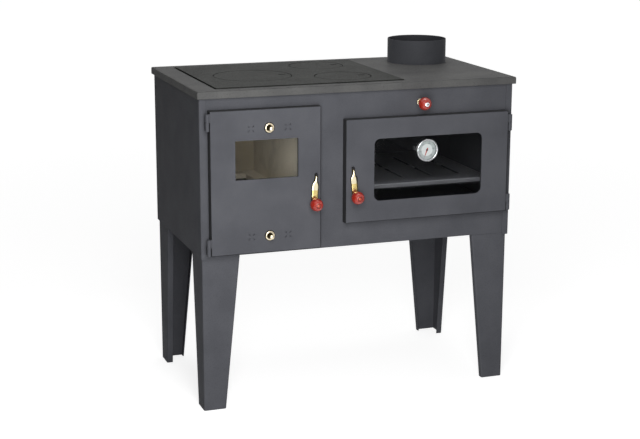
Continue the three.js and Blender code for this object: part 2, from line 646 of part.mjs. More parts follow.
function bottomPanel() {
  const sheet = block([-INNER_HALF, INNER_HALF], [INNER_FRONT, INNER_BACK], [FLOOR_UNDER, FLOOR_TOP]);
  return mesh('bottom_panel', sheet, PAINT);
}

/** Section of a leg: two flanges at a right angle, each ending in a lip folded inwards. */
function legSection(width) {
  const middle = LEG_SHEET / 2;
  return foldedOutline([
    [LEG_LIP, width - middle], [middle, width - middle], [middle, middle],
    [width - middle, middle], [width - middle, LEG_LIP],
  ], LEG_SHEET, FLANGE_BEND, 3);
}

/** A leg that tapers towards the floor, with its straight corner at the casing's corner. */
function leg(name, side, front) {
  const top = FLOOR_UNDER - SEAT;
  const geometry = lofted(legSection(LEG_FOOT_WIDTH), legSection(LEG_TOP_WIDTH), 0, top);
  const turns = { '-1,1': 0, '1,1': 1, '1,-1': 2, '-1,-1': 3 };
  geometry.rotateZ((turns[`${side},${front}`] * Math.PI) / 2);
  geometry.translate(side * INNER_HALF, front > 0 ? INNER_FRONT : INNER_BACK, 0);
  return mesh(name, solid(geometry), PAINT);
}

// ---------------------------------------------------------------------------------------------
// Firebox: shelf, grate, bricks, partition and ash pan
// ---------------------------------------------------------------------------------------------

function grateShelf() {
  const sheet = block([-INNER_HALF, PARTITION_LEFT - SEAT], [INNER_FRONT, INNER_BACK],
    [GRATE_SHELF_Z, GRATE_SHELF_Z + SKIN]);
  const opening = roundedRectangle(GRATE, -GRATE_RIM);
  const hole = extruded(opening, 'up', [GRATE_SHELF_Z - OVER, GRATE_SHELF_Z + SKIN + OVER]);
  return mesh('grate_shelf', cut(sheet, hole), BLACK_STEEL);
}

/** Cast grate: a frame with long slots in two rows. */
function fireGrate() {
  const [bottom, top] = [BRICK_BOTTOM, BRICK_BOTTOM + GRATE_THICKNESS];
  const pitch = (GRATE.right - GRATE.left - 2 * GRATE_RIM) / GRATE_SLOTS;
  const middle = (GRATE.bottom + GRATE.top) / 2;
  const rows = [
    [GRATE.bottom + GRATE_RIM, middle - GRATE_RIM / 2],
    [middle + GRATE_RIM / 2, GRATE.top - GRATE_RIM],
  ];
  const slots = [];
  for (let i = 0; i < GRATE_SLOTS; i += 1) {
    const left = GRATE.left + GRATE_RIM + pitch * (i + 0.5) - GRATE_SLOT / 2;
    for (const [front, back] of rows) {
      const corner = GRATE_SLOT / 2 - LAP;
      const slot = { left, right: left + GRATE_SLOT, bottom: front, top: back, corner };
      slots.push(extruded(roundedRectangle(slot), 'up', [bottom - OVER, top + OVER], 1));
    }
  }
  const body = block([GRATE.left, GRATE.right], [GRATE.bottom, GRATE.top], [bottom, top]);
  return mesh('fire_grate', cut(body, ...slots), CAST_IRON);
}

/** A brick between two values along each axis, its edges eased. */
function brick(name, [x0, x1], [y0, y1], [z0, z1]) {
  const geometry = easedBlock(x1 - x0, y1 - y0, z1 - z0, BRICK_ARRIS, 1);
  geometry.translate((x0 + x1) / 2, (y0 + y1) / 2, z1);
  return mesh(name, solid(geometry), FIREBRICK);
}

function bricks() {
  const wall = [BRICK_BOTTOM, BRICK_TOP];
  const floor = [BRICK_BOTTOM, BRICK_BOTTOM + FLOOR_BRICK_HEIGHT];
  const long = [INNER_FRONT, FIREBOX.top + BRICK];
  const floorLength = [INNER_FRONT, FIREBOX.top - SEAT];
  const [left, right] = [FIREBOX.left + SEAT, FIREBOX.right - SEAT];
  return [
    brick('brick_left', [FIREBOX.left - BRICK, FIREBOX.left], long, wall),
    brick('brick_right', [FIREBOX.right, FIREBOX.right + BRICK], long, wall),
    brick('brick_back', [left, right], [FIREBOX.top, FIREBOX.top + BRICK], wall),
    brick('floor_brick_left', [left, GRATE.left - SEAT], floorLength, floor),
    brick('floor_brick_right', [GRATE.right + SEAT, right], floorLength, floor),
    brick('floor_brick_back', [GRATE.left, GRATE.right], [GRATE.top + SEAT, FIREBOX.top - SEAT], floor),
  ];
}

function fireboxPartition() {
  const sheet = block([PARTITION_LEFT, PARTITION_LEFT + SKIN], [INNER_FRONT, INNER_BACK],
    [FLOOR_TOP + SEAT, PARTITION_TOP]);
  return mesh('firebox_partition', sheet, BLACK_STEEL);
}

/** An angle on the bottom panel that one edge of the ash pan slides on. */
function ashRunner(name, side) {
  const outer = side < 0 ? ASH_PAN.left - RUN : ASH_PAN.right + RUN;
  const top = ASH_PAN.bottom - SEAT;
  const line = [
    [outer - (side * SKIN) / 2, FLOOR_TOP + SEAT], [outer - (side * SKIN) / 2, top - SKIN / 2],
    [outer - side * RUNNER_WIDTH, top - SKIN / 2],
  ];
  const shape = new THREE.Shape(foldedOutline(line, SKIN, FLANGE_BEND, 2));
  return mesh(name, extruded(shape, 'front', [INNER_FRONT, ASH_PAN_BACK]), BLACK_STEEL);
}

function ashPan() {
  const { left, right, bottom, top } = ASH_PAN;
  const front = PANEL_FACE + PAN_SETBACK;
  const outer = block([left, right], [front, ASH_PAN_BACK], [bottom, top]);
  const inner = block([left + PAN_SHEET, right - PAN_SHEET], [front + PAN_SHEET, ASH_PAN_BACK - PAN_SHEET],
    [bottom + PAN_SHEET, top + OVER]);
  const middle = (left + right) / 2;
  const [root, end] = [front + PAN_SHEET / 2, front - ASH_HANDLE.reach];
  const [near, far] = [middle - ASH_HANDLE.width / 2, middle + ASH_HANDLE.width / 2];
  const grip = foldedOutline([[near, root], [near, end], [far, end], [far, root]],
    PAN_SHEET * 2, ASH_HANDLE.bend, 3);
  const level = (bottom + top - ASH_HANDLE.height) / 2;
  const handle = extruded(new THREE.Shape(grip), 'up', [level, level + ASH_HANDLE.height]);
  return mesh('ash_pan', join(cut(outer, inner), handle), BLACK_STEEL);
}

// ---------------------------------------------------------------------------------------------
// Oven: box, shelf and the flue bypass above it
// ---------------------------------------------------------------------------------------------

function ovenBox() {
  const { left, right, bottom, top } = OVEN_MOUTH;
  const outer = block([left - OVEN_SHEET, right + OVEN_SHEET], [INNER_FRONT, OVEN_BACK + OVEN_SHEET],
    [bottom - OVEN_SHEET, OVEN_TOP]);
  const flange = block([left - OVEN_FLANGE, right + OVEN_FLANGE], [INNER_FRONT, INNER_FRONT + OVEN_SHEET],
    [bottom - OVEN_FLANGE, top + OVEN_FLANGE]);
  const cavity = block([left, right], [INNER_FRONT - OVER, OVEN_BACK], [bottom, top]);
  const ribTop = SHELF_Z - SHELF_SHEET - SEAT;
  const ribs = [[left - LAP, left + RIB.reach], [right - RIB.reach, right + LAP]].map((x) =>
    block(x, [SHELF_FRONT + RIB.setback, SHELF_BACK], [ribTop - RIB.height, ribTop]));
  return mesh('oven_box', join(cut(join(outer, flange), cavity), ...ribs), BLACK_STEEL);
}

/** Slotted shelf with its front edge folded down. */
function ovenShelf() {
  const middle = SHELF_Z - SHELF_SHEET / 2;
  const lip = SHELF_FRONT + SHELF_SHEET / 2;
  const line = [[SHELF_BACK, middle], [lip, middle], [lip, SHELF_Z - SHELF_LIP]];
  const [left, right] = [OVEN_MOUTH.left + SHELF_SIDE_GAP, OVEN_MOUTH.right - SHELF_SIDE_GAP];
  const section = new THREE.Shape(foldedOutline(line, SHELF_SHEET, SHELF_SHEET, 3));
  const { width, length } = SHELF_SLOT;
  const slots = [];
  for (let i = 0; i < SHELF_SLOT_COUNT; i += 1) {
    const x = (left + right) / 2 + (i - (SHELF_SLOT_COUNT - 1) / 2) * SHELF_SLOT_PITCH;
    for (const row of [-1, 1]) {
      const y = (SHELF_FRONT + SHELF_BACK) / 2 + row * (length / 2 + width);
      const slot = {
        left: x - width / 2, right: x + width / 2, bottom: y - length / 2, top: y + length / 2,
        corner: width / 2 - LAP,
      };
      slots.push(extruded(roundedRectangle(slot), 'up', [SHELF_Z - SHELF_SHEET - OVER, SHELF_Z + OVER], 2));
    }
  }
  return mesh('oven_shelf', cut(extruded(section, 'side', [left, right]), ...slots), BLACK_STEEL);
}

/** Wall over the oven with the bypass window, and two rails that the damper plate slides in. */
function flueBaffle() {
  const x = [BAFFLE_X, BAFFLE_X + BAFFLE_SHEET];
  const through = [BAFFLE_X - OVER, BAFFLE_X + BAFFLE_SHEET + OVER];
  const sheet = block(x, [INNER_FRONT, INNER_BACK], [OVEN_TOP + SEAT, CASE_TOP]);
  const window = block(through, [BYPASS.left, BYPASS.right], [BYPASS.bottom, BYPASS.top]);
  const notch = block(through, [INNER_FRONT - OVER, INNER_FRONT + OVEN_SHEET + RUN],
    [OVEN_TOP - OVER, OVEN_TOP + OVEN_FLANGE]);
  const run = [DAMPER_PLATE.left - DAMPER_TRAVEL, DAMPER_PLATE.right + RUN];
  const lipX = DAMPER_PLATE_X - RUN - RAIL_SHEET;
  const between = (a, b) => [Math.min(a, b), Math.max(a, b)];
  const rails = [[DAMPER_PLATE.bottom, -1], [DAMPER_PLATE.top, 1]].flatMap(([edge, way]) => {
    const seat = edge + way * RUN;
    return [
      block([lipX, BAFFLE_X + LAP], run, between(seat, seat + way * RAIL_SHEET)),
      block([lipX, lipX + RAIL_SHEET], run, between(seat + way * RAIL_SHEET, edge - way * RAIL_GRIP)),
    ];
  });
  return mesh('flue_baffle', join(cut(sheet, window, notch), ...rails), BLACK_STEEL);
}

function damperPlate() {
  const { left, right, bottom, top } = DAMPER_PLATE;
  const plate = block([DAMPER_PLATE_X, DAMPER_PLATE_X + BAFFLE_SHEET], [left, right], [bottom, top]);
  return mesh('damper_plate', plate, BLACK_STEEL);
}

/** Pull rod: from the bead, through the front panel, along the damper plate. */
function damperRod() {
  const beadBack = PANEL_FACE - DAMPER_BEAD_CENTRE + BEAD_RADIUS;
  const rod = bar(DAMPER_ROD_RADIUS, 'front', [beadBack + SEAT, DAMPER_PLATE.right],
    [DAMPER_X, 0, DAMPER_Z], 16);
  const ferrule = bar(FERRULE_RADIUS, 'front', [beadBack + SEAT, beadBack + SEAT + FERRULE_LENGTH],
    [DAMPER_X, 0, DAMPER_Z], 20);
  return mesh('damper_rod', join(rod, ferrule), BRASS);
}

// ---------------------------------------------------------------------------------------------
// Doors
// ---------------------------------------------------------------------------------------------

/** Lower ends of a door's two hinges. */
function hingeLevels(door, inset) {
  return [door.bottom + inset.bottom, door.top - inset.top].map((middle) => middle - KNUCKLE_LENGTH);
}

/** Door half of a hinge, with its bore as a cutter: a knuckle and a short web to the door's edge. */
function doorKnuckle({ x, edge }, z) {
  const [low, high] = [z + KNUCKLE_LENGTH + SEAT, z + 2 * KNUCKLE_LENGTH];
  const knuckle = bar(KNUCKLE_RADIUS, 'up', [low, high], [x, HINGE_Y, 0], 20);
  const web = block([Math.min(x, edge), Math.max(x, edge)],
    [HINGE_Y - WEB_SHEET / 2, HINGE_Y + WEB_SHEET / 2], [low, high]);
  const bore = bar(PIN_RADIUS + SEAT, 'up', [low - OVER, high - PIN_SHORT + OVER], [x, HINGE_Y, 0], 16);
  return { body: join(knuckle, web), bore };
}

/** Casing half of a hinge: a knuckle with its pin, on an arm that stands on the side panel's flange. */
function hingeStand(name, x, z) {
  const knuckle = bar(KNUCKLE_RADIUS, 'up', [z, z + KNUCKLE_LENGTH], [x, HINGE_Y, 0], 20);
  const pin = bar(PIN_RADIUS, 'up', [z + OVER, z + 2 * KNUCKLE_LENGTH - PIN_SHORT], [x, HINGE_Y, 0], 16);
  const arm = block([x - ARM_SHEET / 2, x + ARM_SHEET / 2], [HINGE_Y, CASE_FRONT - SEAT],
    [z + OVER, z + KNUCKLE_LENGTH - OVER]);
  return mesh(name, join(knuckle, pin, arm), PAINT);
}

/** Folded door with its window, hinge knuckles and the sleeve of its latch. */
function doorPan(name, door, window, latch, hinge, holes = []) {
  const sheet = pan(door, 'front', DOOR_FACE, { depth: DOOR_DEPTH, sheet: DOOR_SHEET, fold: DOOR_FOLD });
  const opening = extruded(roundedRectangle(window), 'front', [DOOR_FACE - OVER, DOOR_INSIDE + OVER]);
  const sleeveEnd = DOOR_INSIDE + SLEEVE_LENGTH;
  const sleeve = bar(SLEEVE_RADIUS, 'front', [DOOR_INSIDE - LAP, sleeveEnd], [latch.x, 0, latch.z], 24);
  const spindleHole = bar(SPINDLE_RADIUS + SEAT, 'front', [DOOR_FACE - OVER, sleeveEnd + OVER],
    [latch.x, 0, latch.z], 20);
  const knuckles = hinge.levels.map((z) => doorKnuckle(hinge, z));
  const whole = join(sheet, sleeve, ...knuckles.map((knuckle) => knuckle.body));
  const bores = knuckles.map((knuckle) => knuckle.bore);
  return mesh(name, cut(whole, opening, spindleHole, ...bores, ...holes), PAINT);
}

/** Pane that lies behind a door's window. */
function pane(name, window, holes = []) {
  const shape = roundedRectangle({ ...window, corner: GLASS_CORNER }, GLASS_LAP);
  const sheet = extruded(shape, 'front', [GLASS_FACE, GLASS_FACE + GLASS], 2);
  return mesh(name, cut(sheet, ...holes), CLEAR_GLASS);
}

/** The rectangle that a door's rope seals: one or more mouths of the front panel together. */
function sealed(mouths) {
  return {
    left: Math.min(...mouths.map((m) => m.left)),
    right: Math.max(...mouths.map((m) => m.right)),
    bottom: Math.min(...mouths.map((m) => m.bottom)),
    top: Math.max(...mouths.map((m) => m.top)),
    corner: ROPE_CORNER,
  };
}

/** A rectangular ring in the door's plane. */
function ring(outline, hole, rim, y) {
  return cut(extruded(roundedRectangle(outline, rim), 'front', y, 1),
    extruded(roundedRectangle(outline, hole), 'front', [y[0] - OVER, y[1] + OVER], 1));
}

function sealingRope(name, mouths) {
  return mesh(name, ring(sealed(mouths), ROPE_INSET, ROPE_INSET + ROPE, [ROPE_FACE, ROPE_REAR]), ROPE_GREY);
}

/** Inner plate that holds the pane, with a channel for the sealing rope round its edge. */
function doorLiner(name, mouths, window, holes = []) {
  const outline = sealed(mouths);
  const outer = ROPE_INSET + ROPE + SEAT + CHANNEL_WALL;
  const inner = ROPE_INSET - SEAT - CHANNEL_WALL;
  const plateRear = LINER_FACE + LINER_SHEET;
  const plate = extruded(roundedRectangle(outline, outer), 'front', [LINER_FACE, plateRear], 1);
  const channel = ring(outline, inner, outer, [LINER_FACE, ROPE_FACE + CHANNEL_DEPTH]);
  const groove = ring(outline, ROPE_INSET - SEAT, ROPE_INSET + ROPE + SEAT,
    [ROPE_FACE - SEAT, ROPE_FACE + CHANNEL_DEPTH + OVER]);
  const hollow = ring(outline, inner + CHANNEL_WALL, outer - CHANNEL_WALL,
    [LINER_FACE - OVER, ROPE_FACE - SEAT - CHANNEL_WALL]);
  const opening = extruded(roundedRectangle(window, OVER), 'front', [LINER_FACE - OVER, plateRear + OVER]);
  return mesh(name, cut(join(plate, channel), groove, hollow, opening, ...holes), BLACK_STEEL);
}

/** The four petal-shaped air holes of one group, as cutters. */
function ventHoles(x, z, y) {
  return [45, 135, 225, 315].map((degrees) => {
    const angle = THREE.MathUtils.degToRad(degrees);
    const shape = new THREE.Shape();
    shape.absellipse(x + VENT_RING * Math.cos(angle), z + VENT_RING * Math.sin(angle),
      VENT_HOLE.long, VENT_HOLE.wide, 0, 2 * Math.PI, false, angle);
    return extruded(shape, 'front', y, 4);
  });
}

/** Both groups of air holes about a knob's axis, and the hole for its shank. */
function shutterHoles(z, y) {
  return [
    ...ventHoles(AIR_X - VENT_OFFSET, z, y), ...ventHoles(AIR_X + VENT_OFFSET, z, y),
    bar(SHANK_RADIUS + SEAT, 'front', y, [AIR_X, 0, z], 12),
  ];
}

/** Turning shutter behind the door's sheet. It stands closed, with its holes between the door's. */
function airShutter(name, z) {
  const y = [GLASS_FACE, GLASS_FACE + SHUTTER_SHEET];
  const about = (body, angle) => turnedAbout(body, { x: AIR_X, z }, angle);
  const lobe = (side) => bar(VENT_REACH + VENT_RIM, 'front', y, [AIR_X + side * VENT_OFFSET, 0, z], 20);
  const strip = block([AIR_X - VENT_OFFSET, AIR_X + VENT_OFFSET], y,
    [z - SHUTTER_WAIST, z + SHUTTER_WAIST]);
  const body = join(strip, lobe(-1), lobe(1), about(join(strip, lobe(-1), lobe(1)), -SHUTTER_TURN));
  const holes = shutterHoles(z, [y[0] - OVER, y[1] + OVER]).map((hole) => about(hole, -SHUTTER_TURN));
  return mesh(name, cut(body, ...holes), PAINT);
}

/** Turned brass knob: a shank through the door, a rosette and a nub. */
function airKnob(name, z) {
  const face = DOOR_FACE - SEAT;
  const base = face - ROSETTE_THICKNESS;
  const end = base - NUB_LENGTH;
  const neck = NUB_RADIUS - KNOB_EDGE;
  const shankEnd = GLASS_FACE + SHUTTER_SHEET;
  const profile = [
    [0, end], [neck, end], [NUB_RADIUS, end + KNOB_EDGE], [NUB_RADIUS, end + NUB_HEAD],
    [neck, end + NUB_HEAD + 2 * KNOB_EDGE], [neck, base - KNOB_EDGE / 2],
    [ROSETTE_RADIUS - KNOB_EDGE, base], [ROSETTE_RADIUS, base + KNOB_EDGE], [ROSETTE_RADIUS, face],
    [SHANK_RADIUS, face], [SHANK_RADIUS, shankEnd], [0, shankEnd],
  ];
  return mesh(name, revolved(profile, 'front', [AIR_X, 0, z], 16), BRASS);
}

// ---------------------------------------------------------------------------------------------
// Latches: lever and bead outside, spindle and tongue inside, keeper on the front panel
// ---------------------------------------------------------------------------------------------

/** Flat lever: a narrow spike that swells to shoulders and ends round under the bead. */
function leverOutline({ x, z }) {
  const [neck, shoulder, waist] = [LEVER_NECK_WIDTH / 2, LEVER_SHOULDER_WIDTH / 2, LEVER_WAIST_WIDTH / 2];
  const [spike, wide, end] = [z - LEVER_SPIKE, z - LEVER_SHOULDER, z - LEVER_LENGTH];
  const bend = (spike + wide) / 2;
  const shape = new THREE.Shape();
  shape.absarc(x, z, LEVER_HUB, -Math.PI / 3, (4 * Math.PI) / 3);
  shape.lineTo(x - neck, spike);
  shape.bezierCurveTo(x - neck, bend, x - shoulder, bend, x - shoulder, wide);
  shape.lineTo(x - waist, end);
  shape.absarc(x, end, waist, Math.PI, 2 * Math.PI);
  shape.lineTo(x + shoulder, wide);
  shape.bezierCurveTo(x + shoulder, bend, x + neck, bend, x + neck, spike);
  return shape;
}

function latchLever(name, latch, side) {
  const lever = extruded(leverOutline(latch), 'front', [LEVER_FACE, LEVER_REAR], 6);
  return mesh(name, turnedAbout(lever, latch, side * LATCH_LEAN), BRASS);
}

/** Spindle through the door's sleeve, with the tongue at its inner end. */
function latchSpindle(name, latch, side) {
  const spindle = bar(SPINDLE_RADIUS, 'front', [LEVER_REAR + SEAT, TONGUE_REAR], [latch.x, 0, latch.z], 20);
  const tip = latch.x + side * TONGUE_LENGTH;
  const tongue = block([Math.min(latch.x, tip), Math.max(latch.x, tip)], [TONGUE_FACE, TONGUE_REAR],
    [latch.z - TONGUE_HEIGHT / 2, latch.z + TONGUE_HEIGHT / 2]);
  return mesh(name, join(spindle, tongue), STEEL);
}

/** Turned bead: a ball flattened at its back, with a screw's recess in its front. */
function beadProfile(front, back) {
  const middle = (front + back) / 2;
  const start = Math.asin(BEAD_MOUTH / BEAD_RADIUS);
  const half = (middle - front) / Math.cos(start);
  const hole = BEAD_MOUTH - BEAD_LAND;
  const points = [[0, front + BEAD_RECESS], [hole, front + BEAD_RECESS], [hole, front]];
  const steps = 7;
  for (let i = 0; i <= steps; i += 1) {
    const angle = start + ((Math.PI - 2 * start) * i) / steps;
    points.push([BEAD_RADIUS * Math.sin(angle), middle - half * Math.cos(angle)]);
  }
  points.push([0, back]);
  return points;
}

function latchBead(name, latch, side) {
  const profile = beadProfile(HANDLE_FRONT, LEVER_FACE - SEAT);
  const bead = revolved(profile, 'front', [latch.x, 0, latch.z - LEVER_LENGTH], 20);
  return mesh(name, turnedAbout(bead, latch, side * LATCH_LEAN), RED_BEAD);
}

function damperBead() {
  const centre = PANEL_FACE - DAMPER_BEAD_CENTRE;
  const profile = beadProfile(centre - BEAD_RADIUS, centre + BEAD_RADIUS);
  return mesh('damper_bead', revolved(profile, 'front', [DAMPER_X, 0, DAMPER_Z], 20), RED_BEAD);
}

/** Keeper: a foot on the front panel and a lip that the tongue turns behind. */
function latchKeeper(name, latch, side) {
  const tip = latch.x + side * TONGUE_LENGTH;
  const x = [Math.min(tip, tip - side * KEEPER_WIDTH), Math.max(tip, tip - side * KEEPER_WIDTH)];
  const lipRear = TONGUE_FACE - RUN;
  const lipTop = latch.z - TONGUE_HEIGHT / 2 - RUN;
  const lipBottom = lipTop - KEEPER_HEIGHT;
  const foot = block(x, [lipRear - SKIN, PANEL_FACE - SEAT], [lipBottom, lipBottom + SKIN]);
  const lip = block(x, [lipRear - SKIN, lipRear], [lipBottom, lipTop]);
  return mesh(name, join(foot, lip), STEEL);
}

// ---------------------------------------------------------------------------------------------
// Thermometer in the oven door's glass
// ---------------------------------------------------------------------------------------------

/** Case with a bezel, a stem through the glass and the nut that holds it. */
function thermometerCase() {
  const nut = GLASS_FACE + GLASS + SEAT;
  const well = DIAL_RADIUS - BEZEL;
  const stemEnd = DIAL_REAR + STEM_LENGTH;
  const profile = [
    [0, DIAL_FLOOR], [well, DIAL_FLOOR], [well, DIAL_FRONT], [DIAL_RADIUS - BEZEL_EDGE, DIAL_FRONT],
    [DIAL_RADIUS, DIAL_FRONT + BEZEL_EDGE], [DIAL_RADIUS, DIAL_REAR],
    [STEM_RADIUS, DIAL_REAR], [STEM_RADIUS, nut],
    [NUT.radius, nut], [NUT.radius, nut + NUT.height], [STEM_RADIUS, nut + NUT.height],
    [STEM_RADIUS, stemEnd], [0, stemEnd],
  ];
  return mesh('thermometer_case', revolved(profile, 'front', [DIAL_X, 0, DIAL_Z], 24), STEEL);
}

function thermometerNeedle() {
  const y = [DIAL_FLOOR - SEAT - NEEDLE.sheet, DIAL_FLOOR - SEAT];
  const half = NEEDLE.root / 2;
  const { tail, tip, reach } = NEEDLE;
  const corners = [[-half, -tail], [half, -tail], [tip, reach], [-tip, reach]];
  const shape = new THREE.Shape(corners.map(([x, z]) => new THREE.Vector2(DIAL_X + x, DIAL_Z + z)));
  const hub = bar(NEEDLE.hub, 'front', y, [DIAL_X, 0, DIAL_Z], 12);
  const needle = join(extruded(shape, 'front', y), hub);
  return mesh('thermometer_needle', turnedAbout(needle, { x: DIAL_X, z: DIAL_Z }, NEEDLE_REST), NEEDLE_RED);
}

// ---------------------------------------------------------------------------------------------
// Assembly
// ---------------------------------------------------------------------------------------------

const FIRE_HINGE = {
  x: FIRE_DOOR.left - HINGE_OUT,
  edge: FIRE_DOOR.left + 2 * LAP,
  levels: hingeLevels(FIRE_DOOR, FIRE_HINGE_INSET),
};
const OVEN_HINGE = {
  x: OVEN_DOOR.right + HINGE_OUT,
  edge: OVEN_DOOR.right - 2 * LAP,
  levels: hingeLevels(OVEN_DOOR, OVEN_HINGE_INSET),
};

function hob() {
  const lids = Object.entries(LIDS).map(([name, place]) => lid(name, place));
  return [topPlate(), cookingPlate(), ...lids, flueCollar()];
}

function casing() {
  const panels = [
    sidePanel('side_panel_left', -1), sidePanel('side_panel_right', 1),
    frontPanel(), backPanel(), bottomPanel(),
  ];
  const legs = [
    leg('leg_front_left', -1, 1), leg('leg_front_right', 1, 1),
    leg('leg_rear_right', 1, -1), leg('leg_rear_left', -1, -1),
  ];
  const stands = [
    hingeStand('fire_hinge_lower', FIRE_HINGE.x, FIRE_HINGE.levels[0]),
    hingeStand('fire_hinge_upper', FIRE_HINGE.x, FIRE_HINGE.levels[1]),
    hingeStand('oven_hinge_lower', OVEN_HINGE.x, OVEN_HINGE.levels[0]),
    hingeStand('oven_hinge_upper', OVEN_HINGE.x, OVEN_HINGE.levels[1]),
  ];
  const keepers = [
    latchKeeper('fire_latch_keeper', FIRE_LATCH, -1), latchKeeper('oven_latch_keeper', OVEN_LATCH, 1),
  ];
  return [...panels, ...legs, ...stands, ...keepers];
}

function firebox() {
  return [
    grateShelf(), fireGrate(), ...bricks(), fireboxPartition(),
    ashRunner('ash_runner_left', -1), ashRunner('ash_runner_right', 1), ashPan(),
  ];
}

function fireDoor() {
  const mouths = [FIRE_MOUTH, ASH_MOUTH];
  const levels = [UPPER_AIR_Z, LOWER_AIR_Z];
  const airHoles = levels.flatMap((z) => shutterHoles(z, [DOOR_FACE - OVER, DOOR_INSIDE + OVER]));
  const through = [LINER_FACE - OVER, LINER_FACE + LINER_SHEET + OVER];
  const passages = levels.flatMap((z) => [AIR_X - VENT_OFFSET, AIR_X + VENT_OFFSET].map((x) =>
    bar(PASSAGE_RADIUS, 'front', through, [x, 0, z], 16)));
  return [
    doorPan('fire_door_pan', FIRE_DOOR, FIRE_WINDOW, FIRE_LATCH, FIRE_HINGE, airHoles),
    pane('fire_door_glass', FIRE_WINDOW),
    doorLiner('fire_door_liner', mouths, FIRE_WINDOW, passages),
    sealingRope('fire_door_rope', mouths),
    airShutter('upper_air_shutter', UPPER_AIR_Z), airKnob('upper_air_knob', UPPER_AIR_Z),
    airShutter('lower_air_shutter', LOWER_AIR_Z), airKnob('lower_air_knob', LOWER_AIR_Z),
    latchLever('fire_latch_lever', FIRE_LATCH, 1), latchBead('fire_latch_bead', FIRE_LATCH, 1),
    latchSpindle('fire_latch_spindle', FIRE_LATCH, -1),
  ];
}

function ovenDoor() {
  const stemHole = bar(STEM_RADIUS + SEAT, 'front', [GLASS_FACE - OVER, GLASS_FACE + GLASS + OVER],
    [DIAL_X, 0, DIAL_Z], 16);
  return [
    doorPan('oven_door_pan', OVEN_DOOR, OVEN_WINDOW, OVEN_LATCH, OVEN_HINGE),
    pane('oven_door_glass', OVEN_WINDOW, [stemHole]),
    doorLiner('oven_door_liner', [OVEN_MOUTH], OVEN_WINDOW),
    sealingRope('oven_door_rope', [OVEN_MOUTH]),
    thermometerCase(), thermometerNeedle(),
    latchLever('oven_latch_lever', OVEN_LATCH, -1), latchBead('oven_latch_bead', OVEN_LATCH, -1),
    latchSpindle('oven_latch_spindle', OVEN_LATCH, 1),
  ];
}

function oven() {
  return [ovenBox(), ovenShelf(), flueBaffle(), damperPlate(), damperRod(), damperBead()];
}

const cookstove = new THREE.Group();
cookstove.add(...hob(), ...casing(), ...firebox(), ...oven(), ...fireDoor(), ...ovenDoor());

export default cookstove;
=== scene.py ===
"""Wood cookstove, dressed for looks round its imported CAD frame.

Everything is in metres in the CAD's own frame: +X to the right, +Y to the back, +Z up, and the
origin on the floor. The CAD nodes keep their places. Sheet, cast and turned parts are shown by
finer copies of the same shapes, and small fittings are worked out here with numpy.
"""

from __future__ import annotations

import json
import logging
import math
from dataclasses import dataclass
from enum import Enum

import bmesh
import bpy
import numpy as np
from mathutils import Matrix, Vector

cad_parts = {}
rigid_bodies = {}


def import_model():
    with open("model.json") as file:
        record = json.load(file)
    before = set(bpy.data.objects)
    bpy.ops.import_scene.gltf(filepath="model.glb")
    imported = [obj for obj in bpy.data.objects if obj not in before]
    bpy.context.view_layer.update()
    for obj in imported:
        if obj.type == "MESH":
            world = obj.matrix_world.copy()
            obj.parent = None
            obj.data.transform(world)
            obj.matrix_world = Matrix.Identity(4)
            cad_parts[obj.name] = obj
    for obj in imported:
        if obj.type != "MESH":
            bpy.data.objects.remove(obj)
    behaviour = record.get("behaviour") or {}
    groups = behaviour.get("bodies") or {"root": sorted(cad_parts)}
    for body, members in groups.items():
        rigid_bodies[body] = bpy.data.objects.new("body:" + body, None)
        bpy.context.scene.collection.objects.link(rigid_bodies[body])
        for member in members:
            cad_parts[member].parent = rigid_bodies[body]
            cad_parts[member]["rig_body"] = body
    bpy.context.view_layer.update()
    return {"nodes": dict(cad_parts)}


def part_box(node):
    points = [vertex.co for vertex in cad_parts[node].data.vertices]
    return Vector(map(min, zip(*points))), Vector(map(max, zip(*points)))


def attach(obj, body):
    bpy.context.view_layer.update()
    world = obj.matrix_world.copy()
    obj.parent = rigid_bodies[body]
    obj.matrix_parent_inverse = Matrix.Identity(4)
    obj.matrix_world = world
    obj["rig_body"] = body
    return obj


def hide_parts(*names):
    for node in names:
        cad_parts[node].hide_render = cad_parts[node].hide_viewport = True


LOG = logging.getLogger("cookstove")
MM = 0.001
TURN = 2 * math.pi
WHITE = (1.0, 1.0, 1.0, 1.0)

Colour = tuple[float, float, float, float]
Place = tuple[float, float, float]
Shape = tuple[np.ndarray, np.ndarray]
Tree = bpy.types.NodeTree
Socket = bpy.types.NodeSocket


# ---- Shader helpers ----


def linear(code: str) -> Colour:
    """Turns an sRGB hex colour to linear light.

    Args:
        code: A colour such as "#4b4c4f".

    Returns:
        Red, green, blue and alpha, each from 0 to 1.
    """
    channels = [int(code[i : i + 2], 16) / 255 for i in (1, 3, 5)]
    red, green, blue = (c / 12.92 if c <= 0.04045 else ((c + 0.055) / 1.055) ** 2.4 for c in channels)
    return red, green, blue, 1.0


def feed(tree: Tree, made: bpy.types.Node, inputs: dict) -> None:
    """Gives a node's sockets their values and links.

    Args:
        tree: The node tree.
        made: The node.
        inputs: Socket name or number, to a value, an output, or a node whose first output it takes.
    """
    for key, value in inputs.items():
        source = value.outputs[0] if isinstance(value, bpy.types.Node) else value
        if isinstance(source, Socket):
            tree.links.new(source, made.inputs[key])
        else:
            made.inputs[key].default_value = source


def node(tree: Tree, kind: str, inputs: dict | None = None, **settings: object) -> bpy.types.Node:
    """Adds one node with its settings, socket values and links.

    Args:
        tree: The node tree that gets the node.
        kind: The node's type without its first word, such as "Bump".
        inputs: Socket name or number, to what feed takes.
        **settings: Attributes of the node itself.

    Returns:
        The new node.
    """
    made = tree.nodes.new("ShaderNode" + kind)
    for name, value in settings.items():
        setattr(made, name, value)
    feed(tree, made, inputs or {})
    return made


def per_metre(size_mm: float) -> float:
    """Gives the texture scale whose features are about size_mm apart."""
    return 1.0 / (size_mm * MM)


